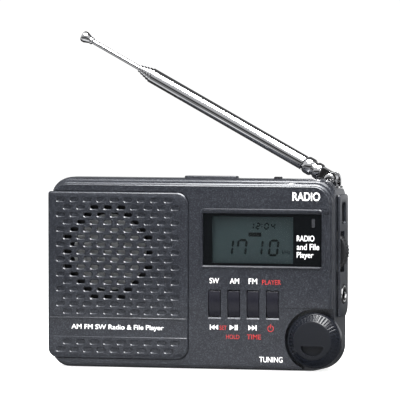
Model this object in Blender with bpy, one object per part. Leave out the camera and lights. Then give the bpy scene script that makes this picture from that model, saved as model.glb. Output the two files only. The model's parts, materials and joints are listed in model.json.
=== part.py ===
"""Pocket shortwave receiver with a telescopic antenna.

The receiver stands on its bottom face. X runs to the right as seen from the front, Y to the
back and Z up, and the origin is the middle of the bottom face. Sizes below are in millimetres.
"""
import math

import bmesh
import bpy
from mathutils import Matrix, Vector

for leftover in list(bpy.data.objects):
    bpy.data.objects.remove(leftover, do_unlink=True)

MM = 0.001

# ---- Case -------------------------------------------------------------------------------
WIDTH = 124.0
HEIGHT = 80.0
DEPTH = 25.0
CORNER = 8.0             # three corners of the front outline
KNOB_CORNER = 11.0       # the corner beside the tuning knob
BACK_ROUND = 4.0         # rounding round the back face
FRONT_WALL = 2.0
WALL = 1.8
GAP = 0.3                # clearance between pieces that rest on each other
PART_LINE = 7.5          # depth of the joint between the shells, from the front face

LEFT = -WIDTH / 2
RIGHT = WIDTH / 2
FRONT = -DEPTH / 2
BACK = DEPTH / 2
TOP = HEIGHT
PART_Y = FRONT + PART_LINE
INNER_FRONT = FRONT + FRONT_WALL
INNER_BACK = BACK - WALL

# ---- Speaker grille ---------------------------------------------------------------------
GRILLE_WIDTH = 61.7
GRILLE_WRAP = 0.6        # how far the panel stands out past the left side
GRILLE_PROUD = 0.6
GRILLE_THICK = 1.5
GRILLE_LOW = 4.1
GRILLE_TOP_MARGIN = 5.8
GRILLE_CORNER = 5.0
SLOT_LENGTH = 4.3
SLOT_HEIGHT = 1.8
SLOT_PITCH_X = 5.955
SLOT_PITCH_Z = 3.135
SLOT_COLUMNS = 9
SLOT_ROWS = 16
SLOT_FIRST_X = LEFT + 5.5
SLOT_FIRST_Z = TOP - 9.25
SPEAKER_R = 24.0
SPEAKER_X = LEFT + SPEAKER_R + 2.35
SPEAKER_Z = TOP - 31.2
CONE_R = SPEAKER_R - 3.4
OPEN_R = SPEAKER_R - 3.6      # slots inside this radius go right through
SPEAKER_HOLE_R = SPEAKER_R - 1.4
MAGNET_R = 11.0

# ---- Display ----------------------------------------------------------------------------
WINDOW_LEFT = RIGHT - 55.8
WINDOW_RIGHT = RIGHT - 4.4
WINDOW_LOW = TOP - 36.05
WINDOW_HIGH = TOP - 14.4
WINDOW_THICK = 1.2
WINDOW_SET = 0.2         # depth of the window's face below the front face
WINDOW_LEDGE = 0.6
LCD_WIDTH = 39.2
LCD_THICK = 1.6

# ---- Keys -------------------------------------------------------------------------------
KEY_NAMES = ("sw_key", "am_key", "fm_key", "player_key")
KEY_WIDTH = 5.0
KEY_HEIGHT = 10.9
KEY_PITCH = 8.42
KEY_Z = 27.9
KEY_FLANGE = 0.8
KEY_FLANGE_THICK = 0.8
KEY_TRAVEL = 0.6
KEY_PROUD = 0.1
SWITCH_BODY = 1.4

# ---- Tuning knob ------------------------------------------------------------------------
KNOB_R = 11.5
KNOB_OVERHANG = 4.3      # how far the knob stands out past the right side
KNOB_X = RIGHT + KNOB_OVERHANG - KNOB_R
KNOB_Z = KNOB_R + 1.7
KNOB_FACE_R = KNOB_R - 3.4
KNOB_PROUD = 4.0
KNOB_TEETH = 36
DIMPLE_R = 4.7
DIMPLE_DEPTH = 0.9
WELL_R = KNOB_R + 1.5
WELL_DEPTH = 4.1
WELL_WALL = 1.5
KEY_FIRST_X = KNOB_X - WELL_R - WELL_WALL - 29.1   # the row of keys ends beside the well
SHAFT_R = 3.0
ENCODER_SIZE = 11.0

# ---- Right side -------------------------------------------------------------------------
SIDE_PROUD = 1.3
SIDE_FRONT = PART_Y + 1.0
SIDE_BACK = BACK - 3.9
SIDE_TOP = TOP - 6.4
SIDE_LOW_FRONT = 22.4
SIDE_LOW_BACK = 26.2
PORT_Y = FRONT + 14.4    # line through the wheel slot and both sockets
WHEEL_Z = TOP - 30.2
WHEEL_R = 9.5
WHEEL_OUT = 1.9
WHEEL_THICK = 4.6
WHEEL_TEETH = 40
WHEEL_SLOT = 17.0
POT_R = 3.9
USB_Z = TOP - 14.2
USB_SIZE = (3.9, 7.7)
JACK_Z = KNOB_Z + WELL_R + WELL_WALL + 4.2
JACK_RING_R = 3.85
JACK_BORE_R = 1.75

# ---- Top --------------------------------------------------------------------------------
LEDGE_FRONT = BACK - 9.5      # the step that the folded antenna lies on
TONGUE_R = 2.6
LEDGE_DROP = TONGUE_R + 1.6   # room for the tongue and the disc that it turns on
LIGHT_LEFT = RIGHT - 67.2
LIGHT_LENGTH = 23.4
LIGHT_DEPTH = 3.6
LIGHT_Y = FRONT + 11.5
LIGHT_PROUD = 0.9
LIGHT_TRAVEL = 0.8
LOCK_X = RIGHT - 26.4
LOCK_LENGTH = 3.0
LOCK_TRAVEL = 3.6
TOP_BOARD_Z = TOP - 6.4

# ---- Antenna ----------------------------------------------------------------------------
PIVOT_X = RIGHT - 5.4
PIVOT_Y = BACK - 5.5
PIVOT_Z = TOP - 0.15
RAISE = math.radians(28.5)
KNUCKLE_REACH = 2.85 * TONGUE_R   # the notch clears the tongue as it swings round
KNUCKLE_CUT_LEFT = PIVOT_X - KNUCKLE_REACH
KNUCKLE_CUT_FRONT = PIVOT_Y - KNUCKLE_REACH
TONGUE_THICK = 4.0
LUG_THICK = 1.4
LUG_R = 3.0
PIN_R = 1.2
COLLAR_FROM = 5.3
COLLAR_TO = 13.9
COLLAR_R = 3.7
TUBE_FROM = 8.0
TUBE_TO = 90.4
TUBE_RADII = (3.2, 2.8, 2.4, 2.0, 1.6)
TUBE_WALL = 0.2
STEP_OUT = 1.45
ROD_R = 1.0
ROD_OUT = 23.3
TIP_LENGTH = 5.6
TIP_R = 2.4
STEM_R = 2.6
NUT_R = 3.4
NUT_DROP = 7.0         # the nut's seat, below the top face
STEM_LENGTH = 9.0

# ---- Back -------------------------------------------------------------------------------
CELL_R = 7.15
CELL_LENGTH = 49.6
CELL_BUTTON = 0.9
TRAY_RIGHT = KNOB_X - ENCODER_SIZE / 2 - 1.3
TRAY_LEFT = TRAY_RIGHT - 58.4
TRAY_LOW = 2.6
TRAY_WALL = 1.2
TRAY_HIGH = TRAY_LOW + 2 * TRAY_WALL + 4 * CELL_R + 3 * GAP
TRAY_FRONT = INNER_BACK - GAP - 2 * CELL_R - TRAY_WALL - GAP
DOOR_LOW = TRAY_LOW + TRAY_WALL
DOOR_HIGH = TRAY_HIGH - TRAY_WALL
DOOR_THICK = 1.3
DOOR_GAP = 0.7           # wider clearance under the door's hinge edge
STAND_LEFT = LEFT + 12.3
STAND_RIGHT = LEFT + 39.7
STAND_LOW = 4.5
STAND_HIGH = 40.5
STAND_THICK = 1.4
STAND_WALL = 1.5         # walls of the pocket that the stand folds into
SCREW_R = 1.0
HEAD_R = 2.2
POST_R = 2.6
POST_HIGH = TOP - LEDGE_DROP - WALL - POST_R - 0.9

# ---- Boards -----------------------------------------------------------------------------
BOARD_THICK = 1.0
BOARD_Y = TRAY_FRONT - 0.4 - BOARD_THICK
BOARD_LEFT = RIGHT - 68.0
BOARD_RIGHT = RIGHT - 15.0
BOARD_LOW = 20.0
BOARD_HIGH = POST_HIGH - POST_R - 0.4
LIGHT_THICK = BOARD_Y - INNER_FRONT - LCD_THICK - 3 * GAP   # what the display leaves free
MAIN_Y = BOARD_Y + BOARD_THICK + 3.2
MAIN_LEFT = RIGHT - 70.0
MAIN_RIGHT = RIGHT - 3.0
MAIN_STRIP = RIGHT - 12.4     # left edge of the part that runs down behind the knob
MAIN_LOW = 8.5
CAN_LEFT = RIGHT - 40.0
CAN_SIZE = (18.0, 3.0, 14.0)
CAN_LOW = TOP - 40.0
FERRITE_LEFT = RIGHT - 69.0
FERRITE_RIGHT = RIGHT - 18.0
FERRITE_R = 4.0
COIL_LEFT = RIGHT - 60.0
COIL_LENGTH = 20.0
HUB_R = 1.3

# ---- Finishes: colour, roughness, metallic ----------------------------------------------
PAINT = ((0.045, 0.050, 0.062, 1), 0.45, 0.35)
BLACK = ((0.012, 0.013, 0.016, 1), 0.35, 0.0)
GLOSS_BLUE = ((0.016, 0.019, 0.028, 1), 0.25, 0.0)
GLASS = ((0.010, 0.012, 0.014, 1), 0.08, 0.0)
LCD = ((0.060, 0.095, 0.100, 1), 0.30, 0.0)
WHITE = ((0.75, 0.75, 0.73, 1), 0.50, 0.0)
CHROME = ((0.80, 0.80, 0.80, 1), 0.12, 1.0)
STEEL = ((0.45, 0.45, 0.46, 1), 0.35, 1.0)
BOARD = ((0.030, 0.120, 0.050, 1), 0.50, 0.0)
PAPER = ((0.30, 0.31, 0.32, 1), 0.70, 0.0)
FERRITE = ((0.030, 0.030, 0.032, 1), 0.75, 0.0)
COPPER = ((0.55, 0.24, 0.10, 1), 0.35, 1.0)
CELL = ((0.10, 0.16, 0.30, 1), 0.35, 0.2)


# ---- Shape helpers ----------------------------------------------------------------------
def arc(centre, radius, start, end, steps):
    """Points on a circle between two angles in degrees, both ends included."""
    points = []
    for step in range(steps + 1):
        angle = math.radians(start + (end - start) * step / steps)
        points.append((centre[0] + radius * math.cos(angle), centre[1] + radius * math.sin(angle)))
    return points


def rectangle(low, high, radii=(0, 0, 0, 0), steps=5):
    """A rectangle with its own radius at each corner, from the lower left one anticlockwise."""
    corners = ((low[0], low[1], 1, 1, 180), (high[0], low[1], -1, 1, 270),
               (high[0], high[1], -1, -1, 0), (low[0], high[1], 1, -1, 90))
    points = []
    for (a, b, inward_a, inward_b, start), radius in zip(corners, radii):
        if radius > 0:
            centre = (a + inward_a * radius, b + inward_b * radius)
            points.extend(arc(centre, radius, start, start + 90, steps))
        else:
            points.append((a, b))
    return points


def stadium(centre, length, height, steps=4):
    """A slot outline with round ends, long in its first direction."""
    reach = length / 2 - height / 2
    right = arc((centre[0] + reach, centre[1]), height / 2, -90, 90, steps)
    left = arc((centre[0] - reach, centre[1]), height / 2, 90, 270, steps)
    return right + left


def place(points, axis, level):
    """Put a flat outline across an axis: X takes (y, z), Y takes (x, z) and Z takes (x, y)."""
    if axis == "X":
        return [(level, a, b) for a, b in points]
    if axis == "Y":
        return [(a, level, b) for a, b in points]
    return [(a, b, level) for a, b in points]


def skin(rings, closed=False):
    """Join outlines of equal length, or a single point as a pole, into a solid."""
    mesh = bmesh.new()
    rows = [[mesh.verts.new(Vector(point) * MM) for point in ring] for ring in rings]
    pairs = list(zip(rows, rows[1:]))
    if closed:
        pairs.append((rows[-1], rows[0]))
    for low, high in pairs:
        count = max(len(low), len(high))
        for index in range(count):
            following = (index + 1) % count
            if len(low) == 1:
                corners = [low[0], high[following], high[index]]
            elif len(high) == 1:
                corners = [low[index], low[following], high[0]]
            else:
                corners = [low[index], low[following], high[following], high[index]]
            mesh.faces.new(corners)
    if not closed:
        for row in (rows[0], rows[-1]):
            if len(row) > 1:
                mesh.faces.new(row)
    bmesh.ops.recalc_face_normals(mesh, faces=mesh.faces)
    return mesh


def prism(points, axis, start, end):
    return skin([place(points, axis, start), place(points, axis, end)])


def box(x, y, z):
    return prism(rectangle((x[0], y[0]), (x[1], y[1])), "Z", z[0], z[1])


def circle(radius, centre, sides):
    return [(centre[0] + radius * math.cos(math.tau * side / sides),
             centre[1] + radius * math.sin(math.tau * side / sides)) for side in range(sides)]


def turned(profile, axis, centre, sides=24, closed=False):
    """Turn (radius, place along the axis) points about a line through centre."""
    rings = []
    for radius, level in profile:
        outline = circle(radius, centre, sides) if radius > 0 else [centre]
        rings.append(place(outline, axis, level))
    return skin(rings, closed)


def cylinder(radius, axis, centre, start, end, sides=24):
    return prism(circle(radius, centre, sides), axis, start, end)


def toothed(inner, outer, centre, teeth):
    """An outline that alternates between two radii, with flat tooth tops."""
    points = []
    for tooth in range(teeth):
        for share, radius in ((0.0, inner), (0.25, outer), (0.5, outer), (0.75, inner)):
            angle = math.tau * (tooth + share) / teeth
            points.append((centre[0] + radius * math.cos(angle),
                           centre[1] + radius * math.sin(angle)))
    return points


def new_object(name, mesh):
    data = bpy.data.meshes.new(name)
    mesh.to_mesh(data)
    mesh.free()
    item = bpy.data.objects.new(name, data)
    bpy.context.scene.collection.objects.link(item)
    return item


def combine(item, tool_mesh, operation):
    """Cut a shape out of a piece, or join a shape to it, and keep the result as its mesh."""
    tool = new_object("tool", tool_mesh)
    step = item.modifiers.new(operation, "BOOLEAN")
    step.operation = operation
    step.object = tool
    graph = bpy.context.evaluated_depsgraph_get()
    result = bpy.data.meshes.new_from_object(item.evaluated_get(graph))
    item.modifiers.clear()
    before = item.data
    item.data = result
    bpy.data.meshes.remove(before)
    bpy.data.objects.remove(tool, do_unlink=True)


def shaped(mesh, tool_mesh):
    """A cutter shape with another shape taken out of it."""
    item = new_object("shape", mesh)
    combine(item, tool_mesh, "DIFFERENCE")
    result = bmesh.new()
    result.from_mesh(item.data)
    bpy.data.objects.remove(item, do_unlink=True)
    return result


def piece(name, mesh, look, joins=(), cuts=(), origin=(0, 0, 0)):
    """Make one named piece; origin is a point on its joint's axis."""
    item = new_object(name, mesh)
    for shape in joins:
        combine(item, shape, "UNION")
    for shape in cuts:
        combine(item, shape, "DIFFERENCE")
    item.data.transform(Matrix.Translation(-Vector(origin) * MM))
    item.location = Vector(origin) * MM
    colour, roughness, metallic = look
    material = bpy.data.materials.new(name)
    material.use_nodes = True
    shader = material.node_tree.nodes["Principled BSDF"]
    shader.inputs["Base Color"].default_value = colour
    shader.inputs["Roughness"].default_value = roughness
    shader.inputs["Metallic"].default_value = metallic
    item.data.materials.clear()
    item.data.materials.append(material)
    item.data.shade_smooth()
    item.data.set_sharp_from_angle(angle=math.radians(32))
    return item


# ---- Case shells ------------------------------------------------------------------------
def case_outline(side, top, bottom):
    """The front outline of the case, moved inwards by its own amount on each edge."""
    radii = (CORNER - side, KNOB_CORNER - side, CORNER - side, CORNER - side)
    return rectangle((LEFT + side, bottom), (RIGHT - side, TOP - top), radii)


def well(radius, low, start, end):
    """The recess round the tuning knob: round at its left, open to the right and below."""
    outline = arc((KNOB_X, KNOB_Z), radius, 90, 242, 18)
    outline.append((outline[-1][0], low))
    outline.append((RIGHT + radius, low))
    outline.append((RIGHT + radius, KNOB_Z + radius))
    return prism(outline, "Y", start, end)


POSTS = ((LEFT + 7.0, 9.0), (LEFT + 7.0, POST_HIGH), (RIGHT - 14.6, POST_HIGH),
         (KNOB_X - 1.4, KNOB_Z + WELL_R - 3.1))
POST_END = INNER_BACK - GAP


def front_shell():
    steps = ((0.0, 1.25, 3.0, 2.2), (0.4, 0.85, 2.6, 1.8), (1.5, 0.85, 2.3, 1.6),
             (1.9, 0.35, 1.4, 0.9), (3.8, 0.30, 1.2, 0.8), (4.2, 0.0, 0.3, 0.2),
             (PART_LINE - GAP / 2, 0.0, 0.0, 0.0))
    outer = skin([place(case_outline(*step[1:]), "Y", FRONT + step[0]) for step in steps])
    hollow = shaped(prism(case_outline(FRONT_WALL, 3.4, 2.4), "Y", INNER_FRONT, PART_Y + 5),
                    well(WELL_R + WELL_WALL, -5, FRONT - 5, FRONT + WELL_DEPTH + WELL_WALL))
    grille_seat = rectangle((LEFT - 8, GRILLE_LOW - GAP),
                            (LEFT + GRILLE_WIDTH + GAP, TOP - GRILLE_TOP_MARGIN + GAP),
                            (0, GRILLE_CORNER, GRILLE_CORNER, 0))
    seat_y = FRONT - GRILLE_PROUD + GRILLE_THICK + GAP
    cuts = [hollow,
            prism(grille_seat, "Y", FRONT - 5, seat_y),
            box((LEFT - 8, LEFT + 0.9), (FRONT - 5, PART_Y + 5),
                (GRILLE_LOW - GAP, TOP - GRILLE_TOP_MARGIN + GAP)),
            cylinder(SPEAKER_HOLE_R, "Y", (SPEAKER_X, SPEAKER_Z), FRONT - 5, INNER_FRONT + 1, 40),
            prism(rectangle((WINDOW_LEFT - GAP, WINDOW_LOW - GAP),
                            (WINDOW_RIGHT + GAP, WINDOW_HIGH + GAP)), "Y",
                  FRONT - 5, FRONT + WINDOW_SET + WINDOW_THICK + GAP),
            prism(rectangle((WINDOW_LEFT + WINDOW_LEDGE, WINDOW_LOW + WINDOW_LEDGE),
                            (WINDOW_RIGHT - WINDOW_LEDGE, WINDOW_HIGH - WINDOW_LEDGE)), "Y",
                  FRONT - 5, INNER_FRONT + 1),
            well(WELL_R, -5, FRONT - 5, FRONT + WELL_DEPTH),
            cylinder(SHAFT_R + 1.9, "Y", (KNOB_X, KNOB_Z), FRONT, PART_Y + 5)]
    for index in range(len(KEY_NAMES)):
        x = KEY_FIRST_X + index * KEY_PITCH
        cuts.append(box((x - KEY_WIDTH / 2 - GAP, x + KEY_WIDTH / 2 + GAP),
                        (FRONT - 5, INNER_FRONT + 1),
                        (KEY_Z - KEY_HEIGHT / 2 - GAP, KEY_Z + KEY_HEIGHT / 2 + GAP)))
    posts = []
    for x, z in POSTS:
        start = FRONT + WELL_DEPTH + 0.5 if z < KNOB_Z + WELL_R and x > 0 else FRONT + 1.3
        posts.append(cylinder(POST_R, "Y", (x, z), start, POST_END, 14))
    shell = piece("front_shell", outer, PAINT, cuts=cuts)
    for post, (x, z) in zip(posts, POSTS):
        combine(shell, post, "UNION")
        combine(shell, cylinder(SCREW_R + GAP, "Y", (x, z), POST_END - 7, POST_END + 5, 10),
                "DIFFERENCE")
    return shell


def rear_shell():
    rings = [place(case_outline(0, 0, 0), "Y", PART_Y + GAP / 2)]
    for step in range(5):
        angle = math.radians(90 * step / 4)
        inset = BACK_ROUND * (1 - math.cos(angle))
        level = BACK - BACK_ROUND + BACK_ROUND * math.sin(angle)
        rings.append(place(case_outline(inset, inset, inset), "Y", level))
    ledge_z = TOP - LEDGE_DROP
    high = prism(case_outline(WALL, WALL, WALL), "Y", PART_Y - 5, LEDGE_FRONT - WALL)
    inner_outline = case_outline(WALL, LEDGE_DROP + WALL, WALL)
    low = prism(inner_outline, "Y", PART_Y - 6, INNER_BACK)
    low_hollow = shaped(low, box((STAND_LEFT - GAP - STAND_WALL, STAND_RIGHT + GAP + STAND_WALL),
                                 (BACK - STAND_THICK - GAP * 2 - STAND_WALL, BACK + 5),
                                 (STAND_LOW - GAP - STAND_WALL, STAND_HIGH + 0.6 + STAND_WALL)))
    beside_knuckle = KNUCKLE_CUT_LEFT - WALL
    high_hollow = shaped(high, box((beside_knuckle, RIGHT + 5),
                                   (KNUCKLE_CUT_FRONT - WALL, BACK + 5),
                                   (ledge_z - WALL, TOP + 5)))
    cuts = [low_hollow, high_hollow,
            box((LEFT - 5, RIGHT + 5), (LEDGE_FRONT, BACK + 5), (ledge_z, TOP + 5)),
            box((KNUCKLE_CUT_LEFT, RIGHT + 5), (KNUCKLE_CUT_FRONT, BACK + 5), (ledge_z, TOP + 5)),
            cylinder(STEM_R + GAP, "Z", (PIVOT_X, PIVOT_Y), ledge_z - 5, TOP + 5, 20),
            cylinder(NUT_R + 0.5, "Z", (PIVOT_X, PIVOT_Y), TOP - 20, TOP - NUT_DROP, 20),
            box((TRAY_LEFT + TRAY_WALL, TRAY_RIGHT - TRAY_WALL), (INNER_BACK - 2, BACK + 5),
                (DOOR_LOW - DOOR_GAP, DOOR_HIGH + GAP)),
            box((STAND_LEFT - GAP, STAND_RIGHT + GAP), (BACK - STAND_THICK - GAP * 2, BACK + 5),
                (STAND_LOW - GAP, STAND_HIGH + 0.6)),
            box((RIGHT - 5, RIGHT + 5), (PORT_Y - 2.95, PORT_Y + 2.95),
                (WHEEL_Z - WHEEL_SLOT / 2, WHEEL_Z + WHEEL_SLOT / 2)),
            cylinder(JACK_RING_R + GAP, "X", (PORT_Y, JACK_Z), RIGHT - 5, RIGHT + 5),
            box((RIGHT - 5, RIGHT + 5),
                (PORT_Y - USB_SIZE[0] / 2 - GAP, PORT_Y + USB_SIZE[0] / 2 + GAP),
                (USB_Z - USB_SIZE[1] / 2 - GAP, USB_Z + USB_SIZE[1] / 2 + GAP)),
            box((LIGHT_LEFT - GAP, LIGHT_LEFT + LIGHT_LENGTH + GAP),
                (LIGHT_Y - LIGHT_DEPTH / 2 - GAP, LIGHT_Y + LIGHT_DEPTH / 2 + GAP),
                (TOP - 5, TOP + 5)),
            box((LOCK_X - LOCK_LENGTH / 2 - GAP, LOCK_X + LOCK_LENGTH / 2 + LOCK_TRAVEL + GAP),
                (LIGHT_Y - 1.2 - GAP, LIGHT_Y + 1.2 + GAP), (TOP - 3, TOP + 5))]
    for x, z in POSTS:
        cuts.append(cylinder(SCREW_R + GAP, "Y", (x, z), INNER_BACK - 2, BACK + 5, 12))
        cuts.append(cylinder(HEAD_R + GAP, "Y", (x, z), BACK - 0.9, BACK + 5, 16))
    return piece("rear_shell", skin(rings), PAINT, cuts=cuts)


def grille_panel():
    low = (LEFT - GRILLE_WRAP, GRILLE_LOW)
    high = (LEFT + GRILLE_WIDTH, TOP - GRILLE_TOP_MARGIN)
    face = FRONT - GRILLE_PROUD
    rings = []
    for inset, level in ((0.45, face), (0.0, face + 0.4), (0.0, face + GRILLE_THICK)):
        radii = (1.0, GRILLE_CORNER - inset, GRILLE_CORNER - inset, 1.0)
        outline = rectangle((low[0] + inset, low[1] + inset), (high[0] - inset, high[1] - inset),
                            radii)
        rings.append(place(outline, "Y", level))
    wrap = box((low[0], LEFT + 0.6), (face + 0.9, PART_Y - GAP), (low[1] + 1.0, high[1] - 1.0))
    slots = []
    for row in range(SLOT_ROWS):
        shift = SLOT_PITCH_X / 2 if row % 2 else 0.0
        for column in range(SLOT_COLUMNS):
            x = SLOT_FIRST_X + shift + column * SLOT_PITCH_X
            z = SLOT_FIRST_Z - row * SLOT_PITCH_Z
            if math.hypot(x - SPEAKER_X, z - SPEAKER_Z) < OPEN_R:
                outline = stadium((x, z), SLOT_LENGTH, SLOT_HEIGHT)
                slots.append([place(outline, "Y", face - 2), place(outline, "Y", face + 5)])
    cutter = bmesh.new()
    for rings_of_slot in slots:
        body = skin(rings_of_slot)
        scratch = bpy.data.meshes.new("slot")
        body.to_mesh(scratch)
        body.free()
        cutter.from_mesh(scratch)
        bpy.data.meshes.remove(scratch)
    return piece("grille_panel", skin(rings), PAINT, joins=[wrap], cuts=[cutter])


# ---- Display ----------------------------------------------------------------------------
def display():
    face = FRONT + WINDOW_SET
    window = prism(rectangle((WINDOW_LEFT, WINDOW_LOW), (WINDOW_RIGHT, WINDOW_HIGH)), "Y",
                   face, face + WINDOW_THICK)
    piece("display_window", window, GLASS)
    left = WINDOW_LEFT + 2.0
    span_z = (WINDOW_LOW - 1.0, WINDOW_HIGH + 0.8)
    lcd_y = INNER_FRONT + GAP
    piece("lcd_module", box((left, left + LCD_WIDTH), (lcd_y, lcd_y + LCD_THICK), span_z), LCD)
    light_y = lcd_y + LCD_THICK + GAP
    piece("lcd_backlight", box((left, left + LCD_WIDTH), (light_y, light_y + LIGHT_THICK), span_z),
          WHITE)
    led_x = WINDOW_RIGHT - 3.5
    led_z = WINDOW_HIGH - 3.6
    led = box((led_x - 0.8, led_x + 0.8), (INNER_FRONT - 0.3, BOARD_Y - GAP),
              (led_z - 1.8, led_z + 1.8))
    piece("signal_led", led, GLASS)


# ---- Keys and the board behind them -----------------------------------------------------
def keys():
    face = FRONT - KEY_PROUD
    flange_y = INNER_FRONT + GAP
    for index, name in enumerate(KEY_NAMES):
        x = KEY_FIRST_X + index * KEY_PITCH
        rings = []
        for inset, level in ((0.5, face), (0.0, face + 0.5), (0.0, flange_y + KEY_FLANGE_THICK)):
            outline = rectangle((x - KEY_WIDTH / 2 + inset, KEY_Z - KEY_HEIGHT / 2 + inset),
                                (x + KEY_WIDTH / 2 - inset, KEY_Z + KEY_HEIGHT / 2 - inset))
            rings.append(place(outline, "Y", level))
        flange = box((x - KEY_WIDTH / 2 - KEY_FLANGE, x + KEY_WIDTH / 2 + KEY_FLANGE),
                     (flange_y, flange_y + KEY_FLANGE_THICK + 0.02),
                     (KEY_Z - KEY_HEIGHT / 2 - KEY_FLANGE, KEY_Z + KEY_HEIGHT / 2 + KEY_FLANGE))
        piece(name, skin(rings), GLOSS_BLUE, joins=[flange],
              origin=(x, flange_y, KEY_Z))
        switch_low = flange_y + KEY_FLANGE_THICK + 0.02 + KEY_TRAVEL + GAP
        body = box((x - 2.6, x + 2.6), (BOARD_Y - GAP - SWITCH_BODY + 0.4, BOARD_Y - GAP),
                   (KEY_Z - 2.6, KEY_Z + 2.6))
        button = cylinder(1.5, "Y", (x, KEY_Z), switch_low, BOARD_Y - GAP - 0.5, 12)
        piece("key_switch_%d" % (index + 1), body, BLACK, joins=[button])


def boards():
    front_board = box((BOARD_LEFT, BOARD_RIGHT), (BOARD_Y, BOARD_Y + BOARD_THICK),
                      (BOARD_LOW, BOARD_HIGH))
    beside_well = cylinder(WELL_R + WELL_WALL + GAP, "Y", (KNOB_X, KNOB_Z), BOARD_Y - 5,
                           BOARD_Y + 5, 48)
    piece("key_board", front_board, BOARD, cuts=[beside_well])
    outline = [(MAIN_STRIP, MAIN_LOW), (MAIN_RIGHT, MAIN_LOW), (MAIN_RIGHT, BOARD_HIGH),
               (MAIN_LEFT, BOARD_HIGH), (MAIN_LEFT, TRAY_HIGH + 1.5),
               (MAIN_STRIP, TRAY_HIGH + 1.5)]
    cuts = [cylinder(POST_R + GAP, "Y", POSTS[3], MAIN_Y - 5, MAIN_Y + 5, 16),
            cylinder(SHAFT_R + GAP, "Y", (KNOB_X, KNOB_Z), MAIN_Y - 5, MAIN_Y + 5, 16),
            cylinder(HUB_R + GAP, "Y", (RIGHT + SIDE_PROUD + WHEEL_OUT - WHEEL_R, WHEEL_Z),
                     MAIN_Y - 5, MAIN_Y + 5, 16)]
    piece("main_board", prism(outline, "Y", MAIN_Y, MAIN_Y + BOARD_THICK), BOARD, cuts=cuts)
    piece("top_board", box((LIGHT_LEFT + 1.2, LOCK_X + 8.4), (LIGHT_Y - 2.4, LIGHT_Y + 1.6),
                           (TOP_BOARD_Z - BOARD_THICK, TOP_BOARD_Z)), BOARD)
    can_y = MAIN_Y + BOARD_THICK + GAP
    piece("tuner_can", box((CAN_LEFT, CAN_LEFT + CAN_SIZE[0]), (can_y, can_y + CAN_SIZE[1]),
                           (CAN_LOW, CAN_LOW + CAN_SIZE[2])), STEEL)


# ---- Tuning knob ------------------------------------------------------------------------
def tuning():
    centre = (KNOB_X, KNOB_Z)
    face = FRONT - KNOB_PROUD
    back = FRONT + WELL_DEPTH - 0.6
    rim = face + 3.2
    rings = [place(circle(KNOB_FACE_R - 0.3, centre, KNOB_TEETH * 4), "Y", face),
             place(circle(KNOB_FACE_R, centre, KNOB_TEETH * 4), "Y", face + 0.2),
             place(toothed(KNOB_R - 1.5, KNOB_R - 0.7, centre, KNOB_TEETH), "Y", rim),
             place(circle(KNOB_R, centre, KNOB_TEETH * 4), "Y", rim + 0.1),
             place(circle(KNOB_R, centre, KNOB_TEETH * 4), "Y", rim + 0.9),
             place(circle(KNOB_R - 0.5, centre, KNOB_TEETH * 4), "Y", back)]
    dimple = arc((KNOB_X, KNOB_Z - 2.2), DIMPLE_R, 180, 360, 16)
    bore = cylinder(SHAFT_R + GAP, "Y", centre, back - 5.0, back + 5, 20)
    piece("tuning_knob", skin(rings), GLOSS_BLUE,
          cuts=[prism(dimple, "Y", face - 3, face + DIMPLE_DEPTH), bore], origin=(KNOB_X, face, KNOB_Z))
    encoder_y = FRONT + WELL_DEPTH + WELL_WALL + GAP
    shaft = cylinder(SHAFT_R, "Y", centre, back - 5.0 + GAP, MAIN_Y - 1.0, 20)
    piece("tuning_shaft", shaft, STEEL, origin=(KNOB_X, face, KNOB_Z))
    half = ENCODER_SIZE / 2
    encoder = box((KNOB_X - half, KNOB_X + half - 1.9), (encoder_y, MAIN_Y - GAP),
                  (KNOB_Z - half, KNOB_Z + half))
    bush = cylinder(SHAFT_R + 1.6, "Y", centre, FRONT + WELL_DEPTH + 0.1, encoder_y + 0.5, 20)
    piece("tuning_encoder", encoder, STEEL, joins=[bush],
          cuts=[cylinder(SHAFT_R + GAP, "Y", centre, FRONT, MAIN_Y - 0.7, 20)])


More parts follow.
